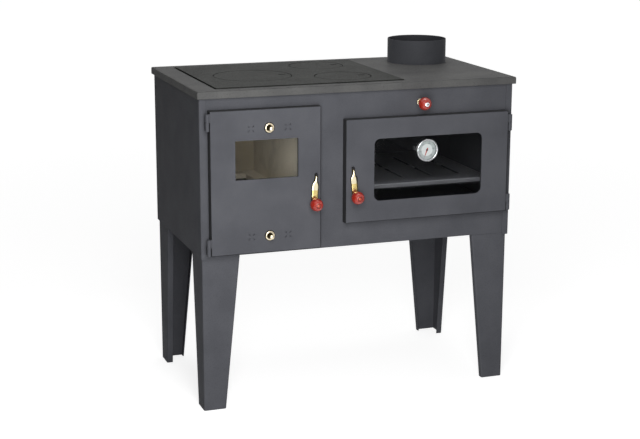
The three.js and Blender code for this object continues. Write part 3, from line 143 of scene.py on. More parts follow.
def patchy(place: object, size_mm: float, detail: float) -> dict:
    """Gives the sockets of a noise whose patches are about size_mm across."""
    return {"Vector": place, "Scale": per_metre(size_mm), "Detail": detail}


def span(value: object, low: float, high: float, start: float = 0.35, end: float = 0.65) -> dict:
    """Gives the sockets that spread start to end over low to high; a noise mostly lies in 0.35 to 0.65."""
    return {"Value": value, "From Min": start, "From Max": end, "To Min": low, "To Max": high}


def tinted(tree: Tree, pattern: object, first: object, second: str, share: float,
           start: float = 0.35, end: float = 0.65) -> Socket:
    """Tints one colour with another where a pattern is high.

    Args:
        tree: The node tree.
        pattern: The pattern's node.
        first: The colour, or the output that gives it.
        second: What tints it, as a hex colour.
        share: How much of that there is where the pattern reaches end.
        start: The pattern's value where the tint begins.
        end: The pattern's value where the tint is full.

    Returns:
        The tinted colour's output.
    """
    amount = node(tree, "MapRange", span(pattern, 0.0, share, start, end))
    return node(tree, "Mix", {0: amount, 6: first, 7: linear(second)}, data_type="RGBA").outputs[2]


# ---- Finishes ----


@dataclass(frozen=True)
class Finish:
    """What every finish has: its name, the record's slot it stands for, its colour and roughness."""

    name: str
    slot: str
    colour: str
    roughness: float

    def sockets(self, tree: Tree, place: Socket) -> dict:
        """Works out the shader's sockets. Each kind of finish does this in its own way.

        Args:
            tree: The material's node tree.
            place: The surface's own coordinates.

        Returns:
            Socket names, each to what it gets.
        """
        raise NotImplementedError

    def build(self) -> bpy.types.Material:
        """Makes the finish as a material."""
        material = bpy.data.materials.new(self.name)
        material.use_nodes = True
        tree = material.node_tree
        tree.nodes.clear()
        plain = {"Base Color": linear(self.colour), "Roughness": self.roughness}
        shader = node(tree, "BsdfPrincipled", plain)
        feed(tree, shader, self.sockets(tree, node(tree, "TexCoord").outputs["Object"]))
        node(tree, "OutputMaterial", {"Surface": shader})
        return material


@dataclass(frozen=True)
class SprayedPaint(Finish):
    """Heat-resistant silicone paint, sprayed on sheet steel or a casting and stoved.

    It dries satin, with the fine grain of overspray, and small differences in film thickness show
    as a soft mottle. On a casting the sand's grain shows through.
    """

    mottle: str = "#55565a"
    grain_mm: float = 1.4
    relief_mm: float = 0.05
    gloss: float = 0.03
    sheen_spread: float = 0.08
    speck: str = "#1c1d1f"
    patch_mm: float = 95.0

    def sockets(self, tree: Tree, place: Socket) -> dict:
        """Works out the mottle, the dark specks, the uneven sheen and the grain's relief.

        Args:
            tree: The material's node tree.
            place: The surface's own coordinates.

        Returns:
            Socket names, each to what it gets.
        """
        patches = node(tree, "TexNoise", patchy(place, self.patch_mm, 4.0))
        grain = node(tree, "TexNoise", patchy(place, self.grain_mm, 3.0))
        film = tinted(tree, patches, linear(self.colour), self.mottle, 1.0)
        rough = span(grain, self.roughness - self.sheen_spread, self.roughness + self.sheen_spread)
        return {"Base Color": tinted(tree, grain, film, self.speck, 0.35, 0.55, 0.75),
                "Specular IOR Level": self.gloss,
                "Roughness": node(tree, "MapRange", rough),
                "Normal": node(tree, "Bump", {"Height": grain, "Distance": self.relief_mm * MM})}


@dataclass(frozen=True)
class WorkedMetal(Finish):
    """Bare metal with fine marks of the tool: turned, rolled or brushed.

    The marks are streaks about streak_mm wide, drawn long in one direction, and thin clouds of
    tarnish lie over them.
    """

    streak_mm: float = 0.5
    tarnish: str = "#8a6f35"
    tarnish_share: float = 0.25
    cloud_mm: float = 9.0
    stretch: Place = (1.0, 1.0, 0.08)
    relief_mm: float = 0.01

    def sockets(self, tree: Tree, place: Socket) -> dict:
        """Works out the tarnish, the streaked sheen and the streaks' relief.

        Args:
            tree: The material's node tree.
            place: The surface's own coordinates.

        Returns:
            Socket names, each to what it gets.
        """
        drawn = node(tree, "Mapping", {"Vector": place, "Scale": self.stretch})
        streaks = node(tree, "TexNoise", patchy(drawn, self.streak_mm, 2.0))
        clouds = node(tree, "TexNoise", patchy(place, self.cloud_mm, 3.0))
        rough = span(streaks, self.roughness * 0.7, self.roughness * 1.3)
        return {"Base Color": tinted(tree, clouds, linear(self.colour), self.tarnish, self.tarnish_share),
                "Metallic": 1.0,
                "Roughness": node(tree, "MapRange", rough),
                "Normal": node(tree, "Bump", {"Height": streaks, "Distance": self.relief_mm * MM})}


@dataclass(frozen=True)
class MouldedBead(Finish):
    """Red thermoset resin, turned and polished, with faint flow clouds under a glossy skin."""

    flow: str = "#9a2a1c"
    cloud_mm: float = 14.0
    turning_mm: float = 1.0
    relief_mm: float = 0.006
    skin: float = 0.35
    skin_roughness: float = 0.16

    def sockets(self, tree: Tree, place: Socket) -> dict:
        """Works out the flow clouds, the polished skin and its slight unevenness.

        Args:
            tree: The material's node tree.
            place: The surface's own coordinates.

        Returns:
            Socket names, each to what it gets.
        """
        clouds = node(tree, "TexNoise", patchy(place, self.cloud_mm, 3.0))
        fine = node(tree, "TexNoise", patchy(place, self.turning_mm, 2.0))
        return {"Base Color": tinted(tree, clouds, linear(self.colour), self.flow, 0.5),
                "Coat Weight": self.skin, "Coat Roughness": self.skin_roughness,
                "Normal": node(tree, "Bump", {"Height": fine, "Distance": self.relief_mm * MM})}


@dataclass(frozen=True)
class FireBrick(Finish):
    """Pressed chamotte board: cream and matt, with darker grains and small pores.

    Soot lies on it in clouds, and painted shade darkens it towards the back and the top of the firebox, where
    less light comes in through the window.
    """

    grain: str = "#b8ab92"
    soot: str = "#4d463a"
    grain_mm: float = 2.2
    cloud_mm: float = 60.0
    pore_mm: float = 3.5
    relief_mm: float = 0.25
    # painted shade: how dark the board gets towards the back and the top, and where that darkening begins and
    # ends
    smoke: float = 0.3
    smoked_back: tuple[float, float] = (0.0, 0.16)
    smoked_top: tuple[float, float] = (0.58, 0.72)

    def sockets(self, tree: Tree, place: Socket) -> dict:
        """Works out the grains, the soot clouds, the painted shade towards the back and the top, and the
        pores.

        Args:
            tree: The material's node tree.
            place: The surface's own coordinates.

        Returns:
            Socket names, each to what it gets.
        """
        grains = node(tree, "TexNoise", patchy(place, self.grain_mm, 4.0))
        clouds = node(tree, "TexNoise", patchy(place, self.cloud_mm, 3.0))
        pores = node(tree, "TexVoronoi", {"Vector": place, "Scale": per_metre(self.pore_mm)})
        board = tinted(tree, grains, linear(self.colour), self.grain, 0.5, 0.45, 0.7)
        cloudy = tinted(tree, clouds, board, self.soot, 0.25, 0.5, 0.75)
        split = node(tree, "SeparateXYZ", {"Vector": place}).outputs
        # painted shade: darker towards the back and the top of the firebox
        deep = node(tree, "MapRange", span(split["Y"], 0.0, self.smoke, *self.smoked_back))
        high = node(tree, "MapRange", span(split["Z"], 0.0, self.smoke, *self.smoked_top))
        smoke = node(tree, "Math", {0: deep, 1: high}, operation="ADD")
        shaded_board = node(tree, "Mix", {0: smoke, 6: cloudy, 7: linear(self.soot)}, data_type="RGBA")
        solid = node(tree, "MapRange", span(pores, 0.0, 1.0, 0.05, 0.3))
        height = node(tree, "Math", {0: grains, 1: solid}, operation="MULTIPLY")
        return {"Base Color": shaded_board.outputs[2],
                "Normal": node(tree, "Bump", {"Height": height, "Distance": self.relief_mm * MM})}


@dataclass(frozen=True)
class KnittedRope(Finish):
    """Knitted glass-fibre rope: pale grey yarns about a millimetre thick, and no shine; the hollows between
    the yarns are coloured darker, painted shade.
    """

    hollow: str = "#4c4a45"
    yarns_across: float = 6.0
    relief_mm: float = 0.2

    def sockets(self, tree: Tree, place: Socket) -> dict:
        """Works out the yarns, which follow the rope by its own UV map, with painted shade in the hollows
        between them.

        Args:
            tree: The material's node tree.
            place: The surface's own coordinates; not used.

        Returns:
            Socket names, each to what it gets.
        """
        waves = {"Vector": node(tree, "TexCoord").outputs["UV"], "Scale": self.yarns_across,
                 "Distortion": 1.5, "Detail": 2.0}
        yarns = node(tree, "TexWave", waves, bands_direction="DIAGONAL").outputs["Fac"]
        # painted shade: the hollows between the yarns get the darker colour
        both = {0: yarns, 6: linear(self.hollow), 7: linear(self.colour)}
        return {"Base Color": node(tree, "Mix", both, data_type="RGBA").outputs[2],
                "Normal": node(tree, "Bump", {"Height": yarns, "Distance": self.relief_mm * MM})}


@dataclass(frozen=True)
class CeramicPane(Finish):
    """Clear glass ceramic with a faint haze; mostly see-through, so that light gets in."""

    opacity: float = 0.15
    haze: float = 0.05
    haze_mm: float = 120.0

    def sockets(self, tree: Tree, place: Socket) -> dict:
        """Works out the clear body and its uneven haze.

        Args:
            tree: The material's node tree.
            place: The surface's own coordinates.

        Returns:
            Socket names, each to what it gets.
        """
        cloud = node(tree, "TexNoise", patchy(place, self.haze_mm, 2.0))
        rough = span(cloud, self.roughness, self.roughness + self.haze)
        return {"Alpha": self.opacity, "Transmission Weight": 1.0, "Roughness": node(tree, "MapRange", rough)}


@dataclass(frozen=True)
class PlainInk(Finish):
    """Printed ink, enamel, or a near-black painted shade: even, with a slight grain."""

    grain_mm: float = 0.6
    dimmed: float = 0.8
    share: float = 0.4

    def sockets(self, tree: Tree, place: Socket) -> dict:
        """Works out the colour, dimmed a little in its grain.

        Args:
            tree: The material's node tree.
            place: The surface's own coordinates.

        Returns:
            Socket names, each to what it gets.
        """
        grain = node(tree, "TexNoise", patchy(place, self.grain_mm, 2.0))
        full = linear(self.colour)
        amount = node(tree, "MapRange", span(grain, 0.0, self.share))
        both = {0: amount, 6: full, 7: (*(self.dimmed * channel for channel in full[:3]), 1.0)}
        return {"Base Color": node(tree, "Mix", both, data_type="RGBA").outputs[2]}


class Coat(Enum):
    """The finishes of this stove, each with the record's slot it stands for."""

    PAINT = SprayedPaint("anthracite_stove_paint", "paint", "#535459", 0.62, "#5b5c61")
    CASTING = SprayedPaint("painted_cast_iron", "cast_iron", "#2a2b29", 0.6, "#363735",
                           grain_mm=2.4, relief_mm=0.3, gloss=0.05)
    TOP = SprayedPaint("top_plate_paint", "paint", "#585858", 0.55, "#646463", grain_mm=2.4, relief_mm=0.2)
    COLLAR = SprayedPaint("dark_collar_paint", "paint", "#424347", 0.5, "#4c4d51")
    INSIDE = SprayedPaint("dark_stove_paint", "black_steel", "#232427", 0.55, "#2b2c2e")
    OVEN = SprayedPaint("grey_oven_enamel", "black_steel", "#2c2d30", 0.4, "#343538",
                        relief_mm=0.02, gloss=0.2)
    SHELF = SprayedPaint("grey_shelf_enamel", "black_steel", "#55565a", 0.35, "#5f6064",
                         relief_mm=0.02, gloss=0.3)
    # painted highlight: pale grey for the bright line along the shelf's rolled edge
    LIP = SprayedPaint("painted_highlight_shelf_edge", "steel", "#b4b5b9", 0.3, "#a2a3a7", relief_mm=0.02, gloss=0.4)
    BRASS = WorkedMetal("rolled_brass", "brass", "#e6cf8a", 0.2)
    KNOB = WorkedMetal("turned_pale_brass", "brass", "#ded2b8", 0.18, 0.4, "#a59474")
    STEEL = WorkedMetal("zinc_plated_steel", "steel", "#c3c5c8", 0.26, 0.5, "#93969a")
    DARK_STEEL = WorkedMetal("blackened_steel", "steel", "#2a2a2c", 0.5, 0.5, "#161617")
    # painted shade: dark brass for the levers' dark outlines and the shade in the knobs' crevices
    EDGE = WorkedMetal("painted_shade_brass", "brass", "#2e2817", 0.45, 0.5, "#15120a")
    # painted highlight: near-white brass for the bright reflection on the levers' upper faces
    LEVER = WorkedMetal("painted_highlight_brass", "brass", "#f8efcf", 0.14, 0.5, "#d9c27e")
    # painted shade: near-black band round the doors' rims, for the dark gaps and shadow there
    RIM = PlainInk("painted_shade_black", "black_steel", "#17181b", 0.8)
    BEAD = MouldedBead("red_resin", "red_bead", "#a82616", 0.2)
    PLUG = MouldedBead("red_resin_plug", "red_bead", "#c4502f", 0.3)
    # painted shade: dark red for the floor of the beads' recesses
    GROOVE = MouldedBead("dark_resin_groove", "red_bead", "#4a0f0a", 0.5)
    BRICK = FireBrick("chamotte_board", "firebrick", "#f6ecd6", 0.95)
    # painted shade: a darker copy of the board for the firebox's back wall, which lies in shade
    SOOTED = FireBrick("painted_shade_chamotte_board", "firebrick", "#b9ac90", 0.95, "#8d8169")
    ROPE = KnittedRope("glass_fibre_rope", "sealing_rope", "#8a867d", 0.95)
    PANE = CeramicPane("glass_ceramic", "glass", "#e4e8e8", 0.02)
    NEEDLE = PlainInk("red_enamel", "needle", "#a8332c", 0.4)
    FACE = PlainInk("silver_dial_enamel", "steel", "#d3d9d8", 0.4)
    BAND = PlainInk("grey_dial_band", "steel", "#a9b1b0", 0.4)
    INK = PlainInk("black_dial_ink", "steel", "#3a3d40", 0.5)
    BEZEL = WorkedMetal("polished_steel", "steel", "#eceef0", 0.12, 0.5, "#c9ccd0")

    @property
    def material(self) -> bpy.types.Material:
        """The finish's material, made the first time it is asked for."""
        return bpy.data.materials.get(self.value.name) or self.value.build()


# ---- Mesh helpers ----


class Axis(Enum):
    """How a shape's own right, up and outward directions lie in the stove's frame."""

    UP = ((1, 0, 0), (0, 1, 0), (0, 0, 1))
    FRONT = ((1, 0, 0), (0, 0, 1), (0, -1, 0))
    BACK = ((-1, 0, 0), (0, 0, 1), (0, 1, 0))

    def place(self, points: np.ndarray, centre: Place) -> np.ndarray:
        """Turns points drawn in right, up and outward to the stove's frame, about a centre."""
        return points @ np.array(self.value, float) + np.array(centre, float)


def grid_faces(rows: int, columns: int, wrap_rows: bool = False) -> np.ndarray:
    """Gives the quads of a grid of points, numbered row by row, where each row is a closed ring.

    Args:
        rows: Number of rows.
        columns: Number of points in a row.
        wrap_rows: Whether the last row joins the first.

    Returns:
        An array of shape (faces, 4).
    """
    i = np.arange(rows if wrap_rows else rows - 1)[:, None]
    j = np.arange(columns)[None, :]
    right = (j + 1) % columns
    below = (i + 1) % rows
    corners = [i * columns + j, i * columns + right, below * columns + right, below * columns + j]
    return np.stack(np.broadcast_arrays(*corners), -1).reshape(-1, 4)


def smooth_by_angle(shape: bmesh.types.BMesh, degrees: float) -> None:
    """Shades a shape smooth, apart from its sharp edges.

    Args:
        shape: The shape.
        degrees: Edges over this angle stay sharp.
    """
    for face in shape.faces:
        face.smooth = True
    limit = math.radians(degrees)
    for edge in shape.edges:
        edge.smooth = len(edge.link_faces) == 2 and edge.calc_face_angle(0.0) < limit


def mounted(name: str, mesh: bpy.types.Mesh, coat: Coat, body: str,
            replaces: tuple[str, ...]) -> bpy.types.Object:
    """Links a mesh to the scene with its finish and body, and reports it.

    Args:
        name: The piece's name.
        mesh: Its mesh, with its place in it.
        coat: Its finish.
        body: The CAD body that it rides on.
        replaces: CAD nodes that it stands for.

    Returns:
        The piece's object.
    """
    made = bpy.data.objects.new(name, mesh)
    bpy.context.scene.collection.objects.link(made)
    mesh.materials.clear()
    mesh.materials.append(coat.material)
    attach(made, body)
    if replaces:
        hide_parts(*replaces)
    LOG.info("%s: %d faces on %s", name, len(mesh.polygons), body)
    return made


def piece(name: str, points: np.ndarray, faces: np.ndarray, coat: Coat, body: str,
          replaces: tuple[str, ...] = (), sharp: float = 35.0) -> bpy.types.Object:
    """Makes a finished piece from points and faces, and lets it ride on its body.

    Args:
        name: The piece's name.
        points: Points in the stove's frame, shape (n, 3).
        faces: Faces as rows of point numbers.
        coat: Its finish.
        body: The CAD body that it rides on.
        replaces: CAD nodes that it stands for.
        sharp: Edges over this many degrees stay sharp.

    Returns:
        The piece's object.
    """
    mesh = bpy.data.meshes.new(name)
    mesh.from_pydata(points.tolist(), [], faces.tolist())
    shape = bmesh.new()
    shape.from_mesh(mesh)
    bmesh.ops.remove_doubles(shape, verts=shape.verts, dist=1e-6)
    bmesh.ops.recalc_face_normals(shape, faces=shape.faces)
    smooth_by_angle(shape, sharp)
    shape.to_mesh(mesh)
    shape.free()
    return mounted(name, mesh, coat, body, replaces)


def dome(radius: float, height: float, foot: float, count: int) -> np.ndarray:
    """Gives a dome's profile from pole to rim, as (radius sin a, foot + height cos a)."""
    angle = np.linspace(0, math.pi / 2, count)
    return np.stack([radius * np.sin(angle), foot + height * np.cos(angle)], -1)


def revolved(profile: np.ndarray, axis: Axis, centre: Place, segments: int = 64) -> Shape:
    """Turns a profile of (radius, outward) pairs about an axis: (r cos t, r sin t, h).

    Args:
        profile: Pairs, from pole to pole or closed on itself.
        axis: Which way the axis points.
        centre: Where the axis stands.
        segments: Points round the axis.

    Returns:
        Points and faces.
    """
    angle = np.linspace(0, TURN, segments, endpoint=False)
    radius, height = profile[:, 0][:, None], profile[:, 1][:, None]
    local = np.stack([radius * np.cos(angle), radius * np.sin(angle), height + 0 * angle], -1).reshape(-1, 3)
    closed = bool(profile[0, 0] > 0 and profile[-1, 0] > 0)
    return axis.place(local, centre), grid_faces(len(profile), segments, wrap_rows=closed)


def several(shapes: list[Shape]) -> Shape:
    """Puts several shapes into one.

    Args:
        shapes: Points and faces of each.

    Returns:
        Points and faces of all of them.
    """
    starts = np.cumsum([0] + [len(points) for points, _ in shapes[:-1]])
    return (np.concatenate([points for points, _ in shapes]),
            np.concatenate([faces + start for (_, faces), start in zip(shapes, starts)]))


def middle_of(name: str) -> Vector:
    """Gives the middle of a CAD node's box."""
    low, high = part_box(name)
    return (low + high) / 2


# ---- Finer copies of CAD nodes ----


@dataclass
class EasedParts:
    """CAD nodes shown by copies with eased edges, as sheared, folded and cast parts have."""

    nodes: dict[str, bpy.types.Object]
    sharp_deg: float = 40.0
    flat_deg: float = 0.4

    def ease(self, source: str, coat: Coat, edge_mm: float, segments: int) -> None:
        """Makes one copy: doubles merged, flat faces joined, edges rounded.

        Args:
            source: The CAD node.
            coat: Its finish.
            edge_mm: Radius of the eased edges.
            segments: Faces across an eased edge.
        """
        mesh = self.nodes[source].data.copy()
        mesh.name = source + "_eased"
        shape = bmesh.new()
        shape.from_mesh(mesh)
        bmesh.ops.remove_doubles(shape, verts=shape.verts, dist=2e-6)
        bmesh.ops.dissolve_limit(shape, angle_limit=math.radians(self.flat_deg), verts=shape.verts,
                                 edges=shape.edges)
        smooth_by_angle(shape, self.sharp_deg)
        shape.to_mesh(mesh)
        shape.free()
        made = mounted(source + "_eased", mesh, coat, self.nodes[source]["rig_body"], (source,))
        bevel = made.modifiers.new("eased edges", "BEVEL")
        bevel.width = edge_mm * MM
        bevel.segments = segments
        bevel.limit_method = "ANGLE"
        bevel.angle_limit = math.radians(self.sharp_deg)
        bevel.use_clamp_overlap = True
        bevel.miter_outer = "MITER_ARC"
        level = made.modifiers.new("level faces", "WEIGHTED_NORMAL")
        level.mode = "FACE_AREA"
        level.keep_sharp = True

    def build(self) -> None:
        """Makes every copy."""
        groups = (
            (Coat.PAINT, 0.5, 2, (
                "side_panel_left", "side_panel_right", "front_panel", "back_panel", "bottom_panel",
                "leg_front_left", "leg_front_right", "leg_rear_left", "leg_rear_right",
                "fire_hinge_lower", "fire_hinge_upper", "oven_hinge_lower", "oven_hinge_upper",
                "fire_door_pan", "oven_door_pan", "upper_air_shutter", "lower_air_shutter")),
            (Coat.TOP, 0.8, 2, ("top_plate",)),
            (Coat.CASTING, 0.8, 3, ("cooking_plate",)),
            (Coat.CASTING, 0.4, 2, ("big_lid", "front_lid", "rear_lid", "fire_grate")),
            (Coat.INSIDE, 0.3, 2, ("ash_pan", "grate_shelf")),
            (Coat.OVEN, 0.3, 2, ("oven_box",)),
            (Coat.SHELF, 0.3, 2, ("oven_shelf",)),
            (Coat.STEEL, 0.4, 2, ("fire_latch_keeper", "oven_latch_keeper")),
        )
        for coat, edge_mm, segments, names in groups:
            for name in names:
                self.ease(name, coat, edge_mm, segments)


@dataclass
class PlainParts:
    """CAD nodes that are right as they are and only get their finish."""

    nodes: dict[str, bpy.types.Object]

    def build(self) -> None:
        """Gives each node its material."""
        coats = {
            Coat.BRICK: ("brick_left", "brick_right", "floor_brick_left", "floor_brick_right",
                         "floor_brick_back"),
            # the back board gets the darker copy: painted shade
            Coat.SOOTED: ("brick_back",),
            Coat.INSIDE: ("firebox_partition", "ash_runner_left", "ash_runner_right", "flue_baffle",
                          "damper_plate", "fire_door_liner", "oven_door_liner"),
            Coat.BRASS: ("damper_rod",),
            Coat.STEEL: ("fire_latch_spindle", "oven_latch_spindle", "thermometer_case"),
            Coat.PANE: ("fire_door_glass", "oven_door_glass"),
            Coat.NEEDLE: ("thermometer_needle",),
        }
        for coat, names in coats.items():
            for name in names:
                mesh = self.nodes[name].data
                mesh.materials.clear()
                mesh.materials.append(coat.material)
                LOG.info("%s: %s", name, coat.value.name)


# ---- Flue collar ----


@dataclass
class FlueCollar:
    """Rolled collar with its flange under the top plate. Sizes in millimetres."""

    wall: float = 2.0
    flange: float = 3.0
    flange_reach: float = 12.0
    fillet: float = 0.6

    def build(self) -> None:
        """Makes the collar: one profile turned about its axis, its rim a half circle (r cos a, r sin a)."""
        low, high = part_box("flue_collar")
        centre = (low + high) / 2
        outside = (high.x - low.x) / 2
        shell = outside - self.flange_reach * MM
        inside = shell - self.wall * MM
        over = np.linspace(0, math.pi, 7)
        middle, radius = (shell + inside) / 2, (shell - inside) / 2
        rim = np.stack([middle + radius * np.cos(over), high.z - radius + radius * np.sin(over)], -1)
        step, fillet = low.z + self.flange * MM, self.fillet * MM
        foot = [[inside, low.z], [outside, low.z], [outside, step], [shell + fillet, step],
                [shell, step + fillet]]
        collar = revolved(np.concatenate([foot, rim]), Axis.UP, (centre.x, centre.y, 0.0), 128)
        piece("flue_collar_rolled", *collar, Coat.COLLAR, "casing", ("flue_collar",), 60.0)


# ---- Beads, levers, knobs and the door's trim ----


@dataclass
class Bead:
    """Turned bead on a lever or a rod, with the screw that holds it. Sizes in millimetres."""

    source: str
    body: str
    stud: Coat
    stud_radius: float = 3.9
    stud_rise: float = 1.9
    mouth: float = 6.6
    recess: float = 2.2
    lip: float = 0.7
    chamfer: tuple[float, float] = (0.3, 0.4)
    groove_depth: float = 0.5
    groove_width: float = 0.7
    groove_share: float = 0.62

    def build(self) -> None:
        """Makes the bead, its screw, and a dark disc on the recess floor, painted shade round the screw.

        The bead's outline is a half circle (R sin a, R cos a) between its flat front and its back,
        with a shallow groove, a bell curve deep, turned where its front flat begins.
        """
        low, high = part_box(self.source)
        centre = tuple((low + high) / 2)
        radius, half = (high.x - low.x) / 2, (high.y - low.y) / 2
        start = math.asin(min(self.mouth * MM / radius, 1.0))
        turn = np.linspace(start, math.pi - 0.02, 40)
        ball = np.stack([radius * np.sin(turn), half * np.cos(turn) / math.cos(start)], -1)
        ball[:, 1] = np.maximum(ball[:, 1], -half)
        off = (ball[:, 0] - radius * self.groove_share) / (self.groove_width * MM)
        ball[:, 1] -= self.groove_depth * MM * np.exp(-(off ** 2)) * (ball[:, 1] > 0)
        hole, bottom = (self.mouth - self.lip) * MM, half - self.recess * MM
        slope, drop = self.chamfer[0] * MM, self.chamfer[1] * MM
        front = [[0, bottom], [hole, bottom], [hole, half - drop], [hole + slope, half]]
        turned = revolved(np.concatenate([front, ball, [[0, -half]]]), Axis.FRONT, centre, 72)
        piece(self.source + "_turned", *turned, Coat.BEAD, self.body, (self.source,), 50.0)
        # painted shade: a dark disc on the recess floor shows as a dark ring round the screw
        reach = hole - 0.05 * MM
        under, over = bottom + 0.02 * MM, bottom + 0.04 * MM
        disc = np.array([[0, under], [reach, under], [reach, over], [0, over]])
        piece(self.source + "_groove", *revolved(disc, Axis.FRONT, centre, 32), Coat.GROOVE, self.body)
        head, foot = self.stud_radius * MM, bottom + 0.05 * MM
        crown = dome(head, self.stud_rise * MM, bottom + 0.1 * MM, 8)
        screw = revolved(np.concatenate([crown, [[head, foot], [0, foot]]]), Axis.FRONT, centre, 32)
        piece(self.source + "_stud", *screw, self.stud, self.body)


@dataclass
class Lever:
    """Flat brass lever of a latch, with the dark pivot it turns on. Sizes in millimetres."""

    source: str
    body: str
    lean_deg: float
    length: float = 68.0
    tip: float = 3.4
    end: float = 7.4
    crown: float = 0.35
    apex: float = 0.5
    pivot: float = 3.2
    pivot_rise: float = 1.6
    face_back: float = 1.6
    face_start: float = 3.0
    # where the face's pale painted highlight ends and the plain brass foot begins
    bend: float = 37.0

    def softened(self, down: np.ndarray, at: list[float], half: list[float]) -> np.ndarray:
        """Reads half widths off a broken line, averaged over 3 mm so that its corners are round."""
        return sum(np.interp(down + step, at, half) for step in (-1.5, -0.75, 0.0, 0.75, 1.5)) / 5

    def half_width(self, down: np.ndarray) -> np.ndarray:
        """Gives half the lever's width at distances below its pivot.

        A thin spike widens slowly, swells to the shoulders and narrows a little to the bead, and
        both ends are round: sqrt(r^2 - d^2) at a distance d from their centres.

        Args:
            down: Distances below the pivot.

        Returns:
            Half widths there.
        """
        at = [0.0, 4.0, 9.0, 14.0, 18.0, 21.0, 24.0, 27.0, 31.0, 45.0, 60.0, self.length]
        half = [self.tip, 3.5, 3.6, 4.0, 5.2, 6.8, 8.1, 8.5, 8.4, 8.0, 7.6, self.end]
        bar = np.where(down < 2.0, np.interp(down, at, half), self.softened(down, at, half))
        upper = np.sqrt(np.maximum(self.tip ** 2 - np.minimum(down, 0.0) ** 2, 0.0))
        lower = np.sqrt(np.maximum(self.end ** 2 - np.maximum(down - self.length, 0.0) ** 2, 0.0))
        return np.where(down < 0, upper, np.where(down > self.length, lower, bar))

    def face_half_width(self, down: np.ndarray) -> np.ndarray:
        """Gives half the width of the raised face, pale on its upper part as a painted highlight, which runs
        up the neck to a point.
        """
        at = [self.face_start, 8.0, 14.0, 17.0, 20.0, 23.0, 27.0, 45.0, self.length]
        return self.softened(down, at, [0.5, 1.0, 1.7, 2.7, 4.6, 6.1, 6.8, 6.5, 6.2])

    def strip(self, down: np.ndarray, half: np.ndarray, low: float, high: float, eased: float) -> Shape:
        """Works out a long flat bar as rings across its width, leaned about the pivot.

        Its top is high - crown (u - apex)^2 - eased |u|^12 across u from -1 to 1, and its foot is flat.

        Args:
            down: Distances below the pivot, one for each ring.
            half: Half the width there.
            low: Height of its foot above the lever's back.
            high: Height of its top.
            eased: How far its long edges are rounded off.

        Returns:
            Points and faces.
        """
        across = np.linspace(-1, 1, 15)
        top = high - self.crown * (across - self.apex) ** 2 - eased * np.abs(across) ** 12
        x = half[:, None] * np.concatenate([across, across[::-1]])[None, :]
        z = -down[:, None] + 0 * x
        height = np.concatenate([top, np.full(len(across), low)])[None, :] + 0 * x
        sin, cos = math.sin(math.radians(self.lean_deg)), math.cos(math.radians(self.lean_deg))
        local = np.stack([x * cos - z * sin, x * sin + z * cos, height], -1).reshape(-1, 3) * MM
        pin = self.pin()
        return Axis.FRONT.place(local, (pin.x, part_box(self.source)[1].y, pin.z)), grid_faces(*x.shape)

    def pin(self) -> Vector:
        """Finds the spindle, which the lever turns about.

        Returns:
            Its middle.
        """
        low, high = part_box(self.source)
        lean, down = math.radians(self.lean_deg), self.length * MM
        bead = middle_of(self.source.replace("lever", "bead"))
        return Vector((bead.x - down * math.sin(lean), (low.y + high.y) / 2, bead.z + down * math.cos(lean)))

    def build(self) -> None:
        """Makes the lever's body in dark brass, painted shade round its outline; its raised face, near-white
        on its upper part as a painted highlight; its brass foot; and its pivot.
        """
        low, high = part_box(self.source)
        thick = (high.y - low.y) / MM
        cap = np.cos(np.linspace(0, math.pi / 2, 6))
        bar = np.linspace(0.6, self.length - 0.5, 90)
        down = np.concatenate([-self.tip * cap, bar, self.length + self.end * cap[::-1]])
        cut = self.strip(down, self.half_width(down), 0.0, thick - 0.5, 0.8)
        # painted shade: the dark brass body shows round the face as the lever's dark outline
        piece(self.source + "_cut", *cut, Coat.EDGE, self.body, (self.source,), 50.0)
        # painted highlight: the face's upper part is near-white brass, its lower part plain brass
        for name, coat, start, end in (("_face", Coat.LEVER, self.face_start, self.bend),
                                       ("_foot", Coat.BRASS, self.bend, self.length)):
            along = np.linspace(start, end, 50)
            face = self.strip(along, self.face_half_width(along), self.face_back, thick, 0.12)
            piece(self.source + name, *face, coat, self.body, (), 50.0)
        head = np.concatenate([dome(self.pivot, self.pivot_rise, 0.0, 8), [[0, 0]]]) * MM
        pin = self.pin()
        turned = revolved(head, Axis.FRONT, (pin.x, low.y + 0.4 * MM, pin.z), 28)
        piece(self.source + "_pivot", *turned, Coat.DARK_STEEL, self.body)


@dataclass
class DamperFerrule:
    """Turned brass ferrule on the damper's rod behind its bead. Sizes in millimetres."""

    flange: float = 8.6
    flange_edge: float = 1.2
    neck: float = 5.6
    length: float = 12.0
    bore: float = 4.25
    gap: float = 0.4
    fillet: tuple[float, float] = (2.6, 3.4)

    def build(self) -> None:
        """Makes the ferrule: a flange with a half-round edge at its rear, and a plain neck to the bead."""
        low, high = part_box("damper_bead")
        rear = -high.y / MM - self.length - self.gap
        turn, edge = np.linspace(0, math.pi, 8), self.flange_edge
        rim = np.stack([self.flange - edge + edge * np.sin(turn), rear + edge - edge * np.cos(turn)], -1)
        neck = [[self.neck + 0.6, rear + self.fillet[0]], [self.neck, rear + self.fillet[1]],
                [self.neck, rear + self.length], [self.bore, rear + self.length]]
        rod = (low + high) / 2
        profile = np.concatenate([[[self.bore, rear]], rim, neck]) * MM
        turned = revolved(profile, Axis.FRONT, (rod.x, 0.0, rod.z), 48)
        piece("damper_ferrule", *turned, Coat.KNOB, "damper", (), 50.0)


